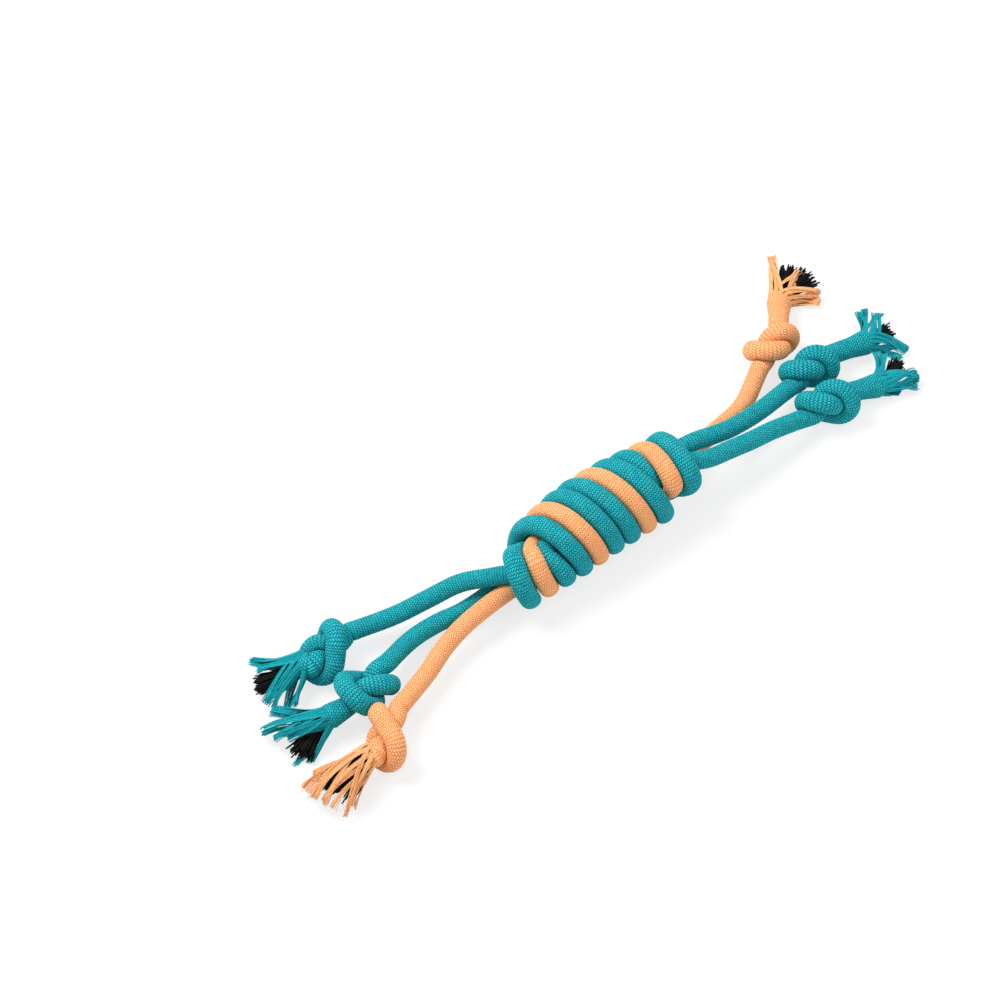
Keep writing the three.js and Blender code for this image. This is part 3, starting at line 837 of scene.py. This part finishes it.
def fill(node, inputs):
    """Gives a node's inputs, by name or number, plain values or links, and returns the node."""
    for key, value in inputs.items():
        if isinstance(value, bpy.types.NodeSocket):
            node.id_data.links.new(value, node.inputs[key])
        else:
            node.inputs[key].default_value = value
    return node


def add(tree, kind, **inputs):
    return fill(tree.nodes.new("ShaderNode" + kind), inputs)


def maths(tree, operation, *values):
    node = add(tree, "Math")
    node.operation = operation
    return fill(node, dict(enumerate(values))).outputs[0]


def between_colours(tree, factor, first, second):
    node = add(tree, "Mix")
    node.data_type = "RGBA"
    return fill(node, {0: factor, 6: first, 7: second}).outputs[2]


def spread_value(tree, value, low, high):
    """Maps a value from between low and high to between 0 and 1."""
    return fill(add(tree, "MapRange"), {0: value, 1: low, 2: high}).outputs[0]


def random_value(tree, number):
    node = add(tree, "TexWhiteNoise")
    node.noise_dimensions = "1D"
    return fill(node, {"W": number}).outputs["Value"]


def uv_place(tree, layer):
    node = add(tree, "UVMap")
    node.uv_map = layer
    return add(tree, "SeparateXYZ", Vector=node.outputs["UV"]).outputs[:2]


print("node helpers ready")

# %% Braided cotton
FINE_ROUNDING, FINE_DIP = 0.95, 0.8
WORN_SCALE, SPECK_SCALE, MOTTLE_DETAIL = 1.6, 9, 3
# The crowns are painted lighter as a highlight, more on some yarns and worn patches than on others, and the pits are
# painted darker as shade.
DYE_AND_HIGHLIGHT, WEAR_AND_HIGHLIGHT = 0.35, 0.45
WORN_RANGE, CROWN_RANGE, PIT_RANGE = (0.35, 0.7), (0.3, 1), (0.8, 0.25)
SPECK_DEPTH, LEAST_SPECK, PLY_SHADE = 1.7, 0.1, 0.12
ROUGHNESS, ROUGHER_IN_PITS = 0.78, 0.15
PLY_HEIGHT = 0.2


def mottle(tree, u, v, scale):
    """Soft noise on the rope's surface with no seam, from the place round it and along it."""
    turn = maths(tree, "MULTIPLY", u, 2 * np.pi)
    x, y = maths(tree, "COSINE", turn), maths(tree, "SINE", turn)
    z = maths(tree, "MULTIPLY", v, 2 * np.pi)
    place = add(tree, "CombineXYZ", X=x, Y=y, Z=z).outputs[0]
    return add(tree, "TexNoise", Vector=place, Scale=scale, Detail=MOTTLE_DETAIL).outputs["Fac"]


def braided_cotton_group():
    """The colour, roughness and height of the braid, from the yarn colour, a crown colour painted as a highlight and a
    pit colour painted as shade.
    """
    colours = {"Yarn": "Color", "Crown": "Color", "Pit": "Color"}
    results = {"Color": "Color", "Roughness": "Float", "Height": "Float"}
    tree, given, result = new_group("braided cotton", colours, results)
    calc = partial(maths, tree)

    def choose(first, second):
        return calc("MULTIPLY_ADD", calc("SUBTRACT", first, second), on_top, second)

    u, v = uv_place(tree, "braid")
    a, b = (calc("MULTIPLY", calc(way, v, u), YARNS_EACH_WAY) for way in ("ADD", "SUBTRACT"))
    whole_a, whole_b = calc("FLOOR", a), calc("FLOOR", b)
    part_a, part_b = calc("FRACT", a), calc("FRACT", b)
    step = calc("FLOORED_MODULO", calc("ADD", whole_a, whole_b), 4)
    on_top = calc("LESS_THAN", step, 2)
    wide = calc("MULTIPLY_ADD", choose(part_a, part_b), 2, -1)
    over = choose(calc("ADD", step, part_b), calc("ADD", calc("SUBTRACT", step, 2), part_a))
    over = calc("ABSOLUTE", calc("SUBTRACT", over, 1))
    arch = calc("SQRT", calc("MULTIPLY_ADD", calc("MULTIPLY", wide, wide), -FINE_ROUNDING, 1))
    crown = calc("MULTIPLY", arch, calc("MULTIPLY_ADD", calc("POWER", over, 3), -FINE_DIP, 1))
    plies = calc("MULTIPLY_ADD", calc("COSINE", calc("MULTIPLY", wide, 3 * np.pi)), 0.5, 0.5)
    first_yarn = calc("FLOORED_MODULO", whole_a, YARNS_EACH_WAY)
    second_yarn = calc("ADD", calc("FLOORED_MODULO", whole_b, YARNS_EACH_WAY), YARNS_EACH_WAY)
    dyed = random_value(tree, choose(first_yarn, second_yarn))
    worn = spread_value(tree, mottle(tree, u, v, WORN_SCALE), *WORN_RANGE)
    speck = mottle(tree, u, v, SPECK_SCALE)

    # Painted highlight: the crowns turn towards the lighter crown colour, by an amount that differs at random with
    # each yarn's dye and with wear.
    tone_and_highlight = calc("MULTIPLY_ADD", dyed, DYE_AND_HIGHLIGHT, calc("MULTIPLY", worn, WEAR_AND_HIGHLIGHT))
    tone_and_highlight = calc("MULTIPLY", tone_and_highlight, spread_value(tree, crown, *CROWN_RANGE))
    # Painted shade: the pits between the yarns turn towards the darker pit colour, broken up by specks of noise, and
    # the grooves between the plies are painted darker too. The same mask makes the pits rougher.
    pit_shade = spread_value(tree, crown, *PIT_RANGE)
    pit_shade = calc("MULTIPLY", pit_shade, calc("MULTIPLY_ADD", speck, SPECK_DEPTH, LEAST_SPECK))
    pit_shade = calc("MINIMUM", calc("MULTIPLY_ADD", calc("SUBTRACT", 1, plies), PLY_SHADE, pit_shade), 1)
    colour = between_colours(tree, tone_and_highlight, given["Yarn"], given["Crown"])
    fill(result, {
        "Color": between_colours(tree, pit_shade, colour, given["Pit"]),
        "Roughness": calc("MULTIPLY_ADD", pit_shade, ROUGHER_IN_PITS, ROUGHNESS),
        "Height": calc("MULTIPLY", crown, calc("MULTIPLY_ADD", plies, PLY_HEIGHT, 1 - PLY_HEIGHT)),
    })
    return tree


BRAIDED_COTTON = braided_cotton_group()
print("nodes in braided cotton", len(BRAIDED_COTTON.nodes))

# %% Loose yarn
TWIST_MM = 0.9
TWIST_SHADE, DYE_SHADE = 0.35, 0.6


def loose_yarn_group():
    """The colour and height of a single twisted yarn, with a shade of its own for each."""
    colours, results = {"Yarn": "Color", "Shade": "Color"}, {"Color": "Color", "Height": "Float"}
    tree, given, result = new_group("loose yarn", colours, results)
    calc = partial(maths, tree)
    u, v = uv_place(tree, "yarn")
    dyed = random_value(tree, calc("FLOOR", u))
    lay = calc("ADD", calc("MULTIPLY", u, 2), calc("DIVIDE", v, TWIST_MM))
    twist = calc("MULTIPLY_ADD", calc("SINE", calc("MULTIPLY", lay, 2 * np.pi)), 0.5, 0.5)
    # The colour turns towards the darker colour by each yarn's random dye tone, and in the grooves of the twist as
    # painted shade.
    shade = calc("MULTIPLY", dyed, DYE_SHADE)
    shade = calc("MULTIPLY_ADD", calc("SUBTRACT", 1, twist), TWIST_SHADE, shade)
    colour = between_colours(tree, shade, given["Yarn"], given["Shade"])
    fill(result, {"Color": colour, "Height": twist})
    return tree


LOOSE_YARN = loose_yarn_group()
print("nodes in loose yarn", len(LOOSE_YARN.nodes))

# %% [markdown]
# ### Finishes
# Cotton is matt, so its roughness is high and its shine is low. A trace of sheen stands for the
# fuzz on its edges, and a Bump node adds the plies that the mesh is too coarse for.

# %% Rope and yarn finishes
SHINE, SHEEN, SHEEN_ROUGHNESS = 0.2, 0.08, 0.45
YARN_ROUGHNESS = 0.85
BUMP_STRENGTH = 0.7
BRAID_DEPTH, TWIST_DEPTH = 0.0005, 0.0002


def cotton_material(group, depth, name, sheen=SHEEN, **colours):
    """A matt cotton finish from one of the groups, with soft fuzz on its edges."""
    material = bpy.data.materials.new(name)
    material.use_nodes = True
    tree = material.node_tree
    colours = {title: (*colour, 1) for title, colour in colours.items()}
    pattern = add(tree, "Group")
    pattern.node_tree = group
    made = fill(pattern, colours).outputs
    bump = add(tree, "Bump", Strength=BUMP_STRENGTH, Distance=depth, Height=made["Height"])
    fill(tree.nodes["Principled BSDF"], {
        "Base Color": made["Color"],
        "Roughness": made.get("Roughness", YARN_ROUGHNESS),
        "Specular IOR Level": SHINE,
        "Sheen Weight": sheen,
        "Sheen Roughness": SHEEN_ROUGHNESS,
        "Sheen Tint": colours["Yarn"],
        "Normal": bump.outputs["Normal"],
    })
    return material


rope_finish = partial(cotton_material, BRAIDED_COTTON, BRAID_DEPTH)
yarn_finish = partial(cotton_material, LOOSE_YARN, TWIST_DEPTH)
# Each rope finish has its yarn colour, a lighter colour painted on the crowns as a highlight and a darker colour
# painted in the pits as shade.
MATERIALS = {
    "teal_rope": rope_finish(
        "teal braided cotton",
        Yarn=(0.003, 0.4, 0.465), Crown=(0.055, 0.7, 0.77), Pit=(0.0002, 0.04, 0.056)),
    "orange_rope": rope_finish(
        "orange braided cotton",
        Yarn=(1, 0.505, 0.214), Crown=(1, 0.66, 0.375), Pit=(0.82, 0.165, 0.03)),
}
YARN_MATERIALS = {
    "teal_rope": yarn_finish("loose teal yarn", Yarn=(0.01, 0.52, 0.585), Shade=(0.003, 0.16, 0.2)),
    "orange_rope": yarn_finish(
        "loose orange yarn", Yarn=(1, 0.605, 0.3), Shade=(0.92, 0.34, 0.104)),
    "core_yarn": yarn_finish(
        "black core yarn", sheen=0, Yarn=(0.009, 0.008, 0.01), Shade=(0.002, 0.0018, 0.0025)),
}
print("finishes", [m.name for m in (*MATERIALS.values(), *YARN_MATERIALS.values())])

# %% [markdown]
# ## Ropes in pieces
# Each fine line is cut where the solids are cut, and every stretch becomes a mesh. Neighbours
# share a ring, so no gap shows between them. Each piece is given its finish, its material slot,
# the body it rides on and the solid that it replaces.

# %% Ropes
legs, knots = {}, {}
for k, rope in enumerate(ROPES):
    mine = np.flatnonzero(all_rope == k)
    for code, part_name in enumerate(PARTS):
        where = np.flatnonzero(all_part[mine] == code)
        rows = mine[where[0]:min(where[-1] + 2, len(mine))]
        piece = rope_mesh(f"{rope['name']}_{part_name}_rope", rows)
        piece.data.materials.append(MATERIALS[rope["slot"]])
        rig.slot(piece, rope["slot"])
        side = part_name.split("_")[-1]
        if part_name.startswith("leg"):
            legs[k, side] = (piece, rows)
        elif part_name.startswith("knot"):
            knots[k, side] = piece
            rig.ride(piece, f"{rope['name']}_{side}_end")
            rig.replaces(piece, f"{rope['name']}_knot_{side}")
        else:
            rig.ride(piece, "barrel")
            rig.replaces(piece, f"{rope['name']}_{part_name}")
print("faces", sum(len(o.data.polygons) for o in bpy.data.objects if o.type == "MESH"))

# %% [markdown]
# ## Tassels
# Past its knot each rope is cut and frayed. The yarns of the cover open into a loose net, cross
# each other once or twice and gather in a few locks, and the black yarns of the core stand in the
# middle. Hair particles would do, but they don't export. Every yarn is a thin tube along a curve,
# from its place on the end of the rope to its lock.
# A lock is a row of x, y, height, width and number of ribbons. "core" holds the tips of the black
# yarns from side to side, and "arch" is how high the ribbons rise on their way.

# %% Locks
TASSELS = {
    ("teal_a", "left"): {
        "locks": [
            (-0.174, 0.04, 0.0085, 0.004, 6), (-0.174, 0.034, 0.008, 0.003, 4),
            (-0.1805, 0.0165, 0.005, 0.006, 7), (-0.1765, 0.0075, 0.002, 0.003, 3),
            (-0.1715, 0.0085, 0.006, 0.003, 4),
        ],
        "arch": 0.1, "core": [(-0.175, 0.033), (-0.18, 0.025)],
    },
    ("teal_a", "right"): {
        "locks": [
            (0.1905, 0.0265, 0.006, 0.006, 7), (0.1955, 0.019, 0.008, 0.005, 6),
            (0.1955, -0.0044, 0.003, 0.005, 7), (0.19, -0.006, 0.002, 0.004, 6),
        ],
        "arch": 0.02, "core": [(0.1945, 0.0125), (0.194, 0.0045)],
    },
    ("orange", "left"): {
        "locks": [
            (-0.187, -0.03, 0.009, 0.003, 2), (-0.1945, -0.033, 0.006, 0.006, 3),
            (-0.195, -0.04, 0.007, 0.006, 4), (-0.1915, -0.047, 0.007, 0.006, 4),
            (-0.188, -0.053, 0.005, 0.006, 3), (-0.1815, -0.0525, 0.003, 0.005, 3),
        ],
        "arch": 0.3,
        "core": [(-0.183, -0.0325), (-0.186, -0.038), (-0.181, -0.044), (-0.175, -0.049)],
    },
    ("orange", "right"): {
        "locks": [
            (0.1755, 0.0788, 0.006, 0.003, 9), (0.1805, 0.0635, 0.008, 0.002, 3),
            (0.1815, 0.0475, 0.005, 0.003, 6), (0.179, 0.044, 0.003, 0.004, 6),
        ],
        "arch": 0, "core": [(0.1765, 0.0725), (0.184, 0.0622), (0.1835, 0.0525)],
    },
    ("teal_b", "left"): {
        "locks": [
            (-0.1825, 0.011, 0.01, 0.005, 4), (-0.1915, 0.0065, 0.006, 0.005, 6),
            (-0.189, -0.001, 0.007, 0.004, 4), (-0.1855, -0.005, 0.008, 0.004, 4),
            (-0.1895, -0.0145, 0.001, 0.004, 2), (-0.182, -0.02, 0.001, 0.004, 4),
        ],
        "arch": 0.25, "core": [(-0.187, -0.01), (-0.18, -0.0185)],
    },
    ("teal_b", "right"): {
        "locks": [
            (0.1805, 0.0021, 0.0065, 0.003, 5), (0.1817, -0.0019, 0.0085, 0.003, 4),
            (0.1895, -0.0206, 0.005, 0.006, 9), (0.187, -0.0236, 0.003, 0.005, 7),
            (0.1775, -0.0215, 0.001, 0.004, 4),
        ],
        "arch": 0.2, "core": [(0.1842, -0.007), (0.1865, -0.0118)],
    },
}
print("ribbons", [sum(lock[4] for lock in tassel["locks"]) for tassel in TASSELS.values()])

# %% Yarn curves
YARN_POINTS = 18
LOW_LOCK, WIDEST = 0.0025, 1.05


def curves(p0, p1, p2, p3, ends):
    """Points of many cubic curves, each cut off at its own place."""
    t = np.linspace(0, 1, YARN_POINTS)[None, :, None] * ends[:, None, None]
    p0, p1, p2, p3 = (p[:, None] for p in (p0, p1, p2, p3))
    return (1 - t)**3 * p0 + 3 * (1 - t)**2 * t * p1 + 3 * (1 - t) * t**2 * p2 + t**3 * p3


def end_directions(end):
    along = end["tangent"]
    side = unit(np.cross(UPWARDS, along))
    return end["tail"], along, side, np.cross(along, side)


def lock_of_each(later, locks, base, side):
    """Deals the ribbons out to the locks in order round the rope, so that few of them cross."""
    lateral = (locks[:, :2] - base[:2]) @ side[:2]
    upper = np.where(locks[:, 2] > LOW_LOCK, 1, -1)
    toward = upper * np.arccos(lateral / (WIDEST * np.abs(lateral).max()))
    order = np.argsort(toward)
    dealt = np.repeat(order, locks[order, 4].astype(int))
    ribbons = np.argsort(later % (2 * np.pi))
    turns = [np.roll(dealt, n) for n in range(len(dealt))]
    fit = [np.cos(later[ribbons] - toward[turn]).sum() for turn in turns]
    which = np.empty(len(dealt), int)
    which[ribbons] = turns[int(np.argmax(fit))]
    return which


print("points on a yarn", YARN_POINTS)

# %% Cover yarns
CROSSES_BY, SWELLS_AT = np.radians(65), np.radians(28)
ROOT_DEPTH, ROOT_R, NET_R, TIP_R = 0.005, 0.0037 * OPENED, 0.0078, 0.0018
LEAVES_BY, PARTS_BY, GATHERS_BY = 0.22, 0.25, 0.35
FLATTENED, FACING_UP = (0.3, 0.3, 1), 0.01
PLIES, PLY_R, PLY_STEP, PLY_ASTRAY = 5, 0.00026, 0.0004, 0.00015
PLY_SPLAY, UNEVEN_SPLAY = 0.9, (-0.3, 1)
STRAYS, STRAY_R, STRAY_SPREAD = 16, 0.00013, 0.0011
RIBBON_CUT, STRAY_CUT, UNEVEN_TIPS = (0.95, 1.04), (0.7, 1.02), (-0.0008, 0.0008)


def cover_yarns(end, tassel, chance):
    """The centre lines of the cover's plies, and of single yarns that have come loose."""
    base, along, side, lift = end_directions(end)
    locks = np.array(tassel["locks"])
    count = int(locks[:, 4].sum())
    n = np.arange(count)
    way = np.where(n % 2 == 0, 1, -1)
    angle = 2 * np.pi * (n + 0.5) / count
    later = angle + way * CROSSES_BY

    def ring(angles):
        return np.cos(angles)[:, None] * side + np.sin(angles)[:, None] * lift

    which = lock_of_each(later, locks, base, side)
    tip, width = locks[which, :3], locks[which, 3]
    reach = np.linalg.norm(tip - base, axis=1)[:, None]
    ahead = base + PARTS_BY * reach * along
    out = unit(tip - ahead)
    across = unit(np.cross(out, UPWARDS))
    tip = tip + (width * chance.uniform(-0.5, 0.5, count))[:, None] * across
    tip[:, 2] += chance.uniform(*UNEVEN_TIPS, count)
    p0 = base - ROOT_DEPTH * along + ROOT_R * ring(angle)
    p1 = base + LEAVES_BY * reach * along + NET_R * ring(angle + way * SWELLS_AT)
    p2 = tip - GATHERS_BY * np.linalg.norm(tip - ahead, axis=1)[:, None] * out + TIP_R * ring(later)
    arch = tassel["arch"] * reach * (tip[:, 2:] > LOW_LOCK) * UPWARDS
    p1, p2 = p1 + 0.5 * arch, p2 + arch
    middle = curves(p0, p1, p2, tip, chance.uniform(*RIBBON_CUT, count))
    heading = unit(np.gradient(middle, axis=1))
    t = np.linspace(0, 1, YARN_POINTS)[None, :, None]
    flatter = ring(later)[:, None] * FLATTENED + FACING_UP * UPWARDS
    outward = unit(mix(ring(angle)[:, None], flatter, t))
    wide = unit(np.cross(heading, outward))
    lines = []
    for ply in range(PLIES):
        away = (ply - (PLIES - 1) / 2) * PLY_STEP
        splay = 1 + PLY_SPLAY * t**3 * chance.uniform(*UNEVEN_SPLAY, (count, 1, 1))
        wander = PLY_ASTRAY * chance.uniform(-1, 1, (count, 1, 3)) * t
        lines.append(middle + away * splay * wide + wander)
    pick = chance.integers(0, count, STRAYS)
    astray = chance.normal(0, STRAY_SPREAD, (2, STRAYS, 3))
    cut = chance.uniform(*STRAY_CUT, STRAYS)
    lines.append(curves(p0[pick], p1[pick], p2[pick] + astray[0], tip[pick] + astray[1], cut))
    return np.concatenate(lines), np.repeat((PLY_R, STRAY_R), (PLIES * count, STRAYS))


print("plies in a ribbon", PLIES)

# %% Core yarns
CORE_YARNS = 90
CORE_R, CORE_YARN_R = 0.0037, 0.00042
CORE_DEPTH, CORE_HEIGHT = 0.002, 0.0048
CORE_CUT, CORE_SPREAD = (0.94, 1.04), 0.001
CORE_LEAVES_BY, CORE_GATHERS_BY, CORE_LEVEL = 0.4, 0.3, (1, 1, 0.4)
EVEN_SPIRAL = 2.4


def core_yarns(end, tassel, chance):
    """The centre lines of the core's yarns, spread evenly over a disc at the end of the rope."""
    base, along, side, lift = end_directions(end)
    n = np.arange(CORE_YARNS)
    radius = CORE_R * np.sqrt((n + 0.5) / CORE_YARNS)
    x, z = radius * np.cos(EVEN_SPIRAL * n), radius * np.sin(EVEN_SPIRAL * n)
    tips = np.array(sorted(tassel["core"], key=lambda tip: np.dot(tip, side[:2])))
    place = np.interp(np.argsort(np.argsort(x)), (0, CORE_YARNS - 1), (0, len(tips) - 1))
    tip = np.stack([np.interp(place, range(len(tips)), tips[:, axis]) for axis in range(2)], axis=1)
    tip = np.column_stack([tip + chance.normal(0, CORE_SPREAD, (CORE_YARNS, 2)), CORE_HEIGHT + z])
    reach = np.linalg.norm(tip - base, axis=1)[:, None]
    p0 = base - CORE_DEPTH * along + x[:, None] * side + z[:, None] * lift
    p1 = p0 + CORE_LEAVES_BY * reach * along
    p2 = tip - CORE_GATHERS_BY * reach * unit((tip - base) * CORE_LEVEL)
    lines = curves(p0, p1, p2, tip, chance.uniform(*CORE_CUT, CORE_YARNS))
    return lines, np.full(CORE_YARNS, CORE_YARN_R)


print("core yarns", CORE_YARNS)

# %% Yarn tubes
ANY_DIRECTION = (0.13, 0.21, 0.97)
TIP_TAPER = 0.8
UNDER_ONE, OVER_A_ROUND = 0.999, 7
COVER_SIDES, CORE_SIDES = 5, 6


def yarn_tubes(name, lines, radius, sides):
    """One mesh of thin tubes, with a number for each yarn and the millimetres along it as UV."""
    lines[:, :, 2] = np.maximum(lines[:, :, 2], radius[:, None] + FLOOR_GAP)
    count, points = lines.shape[:2]
    heading = unit(np.gradient(lines, axis=1))
    one = unit(np.cross(heading, ANY_DIRECTION))
    two = np.cross(heading, one)
    turn = 2 * np.pi * np.arange(sides) / sides
    thick = np.repeat(radius[:, None], points, axis=1)
    thick[:, -1] *= TIP_TAPER
    ring = np.cos(turn)[:, None] * one[:, :, None] + np.sin(turn)[:, None] * two[:, :, None]
    corners = lines[:, :, None] + thick[:, :, None, None] * ring
    caps = ((np.arange(count) * points + points - 1) * sides)[:, None] + np.arange(sides)
    step = np.linalg.norm(np.diff(lines, axis=1), axis=2)
    gone = 1000 * np.concatenate([np.zeros((count, 1)), np.cumsum(step, axis=1)], axis=1)
    quads, number, round_it, v = tube_faces(gone, sides)
    u = number + round_it / sides * UNDER_ONE
    cap_uv = np.broadcast_arrays(np.arange(count)[:, None] + turn / OVER_A_ROUND, gone[:, -1:])
    uv = [np.stack([u, v], axis=-1).reshape(-1, 2), np.stack(cap_uv, axis=-1).reshape(-1, 2)]
    return new_piece(name, corners, quads.tolist() + caps.tolist(), "yarn", np.vstack(uv))


print("sides of a tube", COVER_SIDES, CORE_SIDES)

# %% Tassels
tassels = {}
for k, rope in enumerate(ROPES):
    for s, side in enumerate(SIDES_OF_TOY):
        name = rope["name"]
        chance = np.random.default_rng(10 * k + s)
        end, tassel = ENDS[k][side], TASSELS[name, side]
        cover, core = cover_yarns(end, tassel, chance), core_yarns(end, tassel, chance)
        fringe = yarn_tubes(f"{name}_fringe_{side}_yarns", *cover, COVER_SIDES)
        tuft = yarn_tubes(f"{name}_tuft_{side}_yarns", *core, CORE_SIDES)
        for piece, slot, node in ((fringe, rope["slot"], "fringe"), (tuft, "core_yarn", "tuft")):
            piece.data.materials.append(YARN_MATERIALS[slot])
            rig.slot(piece, slot)
            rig.ride(piece, f"{name}_{side}_end")
            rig.replaces(piece, f"{name}_{node}_{side}")
        tassels[k, side] = [fringe, tuft]
print("tassels", len(tassels))

# %% [markdown]
# ## Legs
# A leg is soft rope that hangs out of the barrel, so it is declared as a free cord with its real
# length. In the solids one hinge near the barrel lifts it. Here the rope bends smoothly over a
# stretch, so no seam opens. At the left the bend starts with the leg, in the mouth of the barrel.
# At the right it starts 8 mm further out, so that the hinge lies near its middle.

# %% Legs
BEND_FROM = {"left": 0, "right": 0.008}
PATH_POINTS = 24

for (k, side), (piece, rows) in legs.items():
    name, end = ROPES[k]["name"], ROPES[k][side]
    line = all_line[rows]
    if side == "left":
        line = line[::-1]
    bend_start = line[round(BEND_FROM[side] / RING_STEP)]
    bend_end = np.array(end["leg"][end["bend_to"]])
    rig.blend(piece, "barrel", f"{name}_{side}_end", start=bend_start, end=bend_end)
    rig.replaces(piece, f"{name}_bend_{side}", f"{name}_leg_{side}")
    path = line[np.linspace(0, len(line) - 1, PATH_POINTS).astype(int)]
    length = float(np.linalg.norm(np.diff(path, axis=0), axis=1).sum())
    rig.cord(piece, exit=line[0], length=length, diameter=ROPE_D, far_end="knot", stiffness="limp",
            lay="loose", path=path, with_pieces=[knots[k, side], *tassels[k, side]])
print("legs", len(legs))

# %% [markdown]
# ## Light and floor
# The photograph has soft, even light from above and a white ground. One large lamp behind and to
# the left gives the turns their shape, and a weaker one fills in from the front. To the camera the
# floor is three quarters plain white and one quarter its own shading, so the shadow stays but is
# faint.

# %% Light
WORLD_STRENGTH = 0.53
LAMPS = {"key": ((-0.5, 0.9, 1.6), 0.9, 34), "fill": ((0.9, -0.8, 1.4), 1.2, 9.5)}

scene = bpy.context.scene
scene.view_settings.view_transform = "Standard"
world = bpy.data.worlds.new("studio")
world.use_nodes = True
fill(world.node_tree.nodes["Background"], {"Color": (1, 1, 1, 1), "Strength": WORLD_STRENGTH})
scene.world = world
for name, (place, size, power) in LAMPS.items():
    lamp = new_object(name, bpy.data.lights.new(name, "AREA"))
    lamp.data.size = size
    lamp.data.energy = power
    lamp.location = place
    lamp.rotation_euler = (-Vector(place)).to_track_quat("-Z", "Y").to_euler()
print("lamps", list(LAMPS))

# %% Floor
PLAIN_WHITE = 0.74
FLOOR_GREY = 0.9
FLOOR_HALF = 4


def ground_material():
    material = bpy.data.materials.new("white ground")
    material.use_nodes = True
    tree = material.node_tree
    shaded = tree.nodes["Principled BSDF"]
    fill(shaded, {"Base Color": (FLOOR_GREY, FLOOR_GREY, FLOOR_GREY, 1), "Roughness": 1})
    plain = add(tree, "Emission", Strength=1)
    rays = add(tree, "LightPath").outputs
    seen = maths(tree, "MAXIMUM", rays["Is Camera Ray"], rays["Is Glossy Ray"])
    seen = maths(tree, "MAXIMUM", seen, rays["Is Transmission Ray"])
    share = maths(tree, "MULTIPLY", seen, PLAIN_WHITE)
    both = fill(add(tree, "MixShader"), {0: share, 1: shaded.outputs[0], 2: plain.outputs[0]})
    fill(tree.nodes["Material Output"], {"Surface": both.outputs[0]})
    return material


floor_mesh = bpy.data.meshes.new("floor")
floor_corners = FLOOR_HALF * np.array([(-1, -1, 0), (1, -1, 0), (1, 1, 0), (-1, 1, 0)])
floor_mesh.from_pydata(floor_corners, [], [(0, 1, 2, 3)])
floor = new_object("floor", floor_mesh)
floor_mesh.materials.append(ground_material())
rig.stage(floor)
print("floor", floor.name)

# %% [markdown]
# ## Sizes and finish
# The box round the solids and the box round the visible pieces are written down side by side, so
# a piece that has grown or slipped shows at once.

# %% Sizes and finish
visual_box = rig.bounds()
with open("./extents.json", "w") as file:
    json.dump({"cad": [list(v) for v in cad_box], "visual": [list(v) for v in visual_box]}, file)
print("visual size in mm", [round(1000 * (high - low), 1) for low, high in zip(*visual_box)])
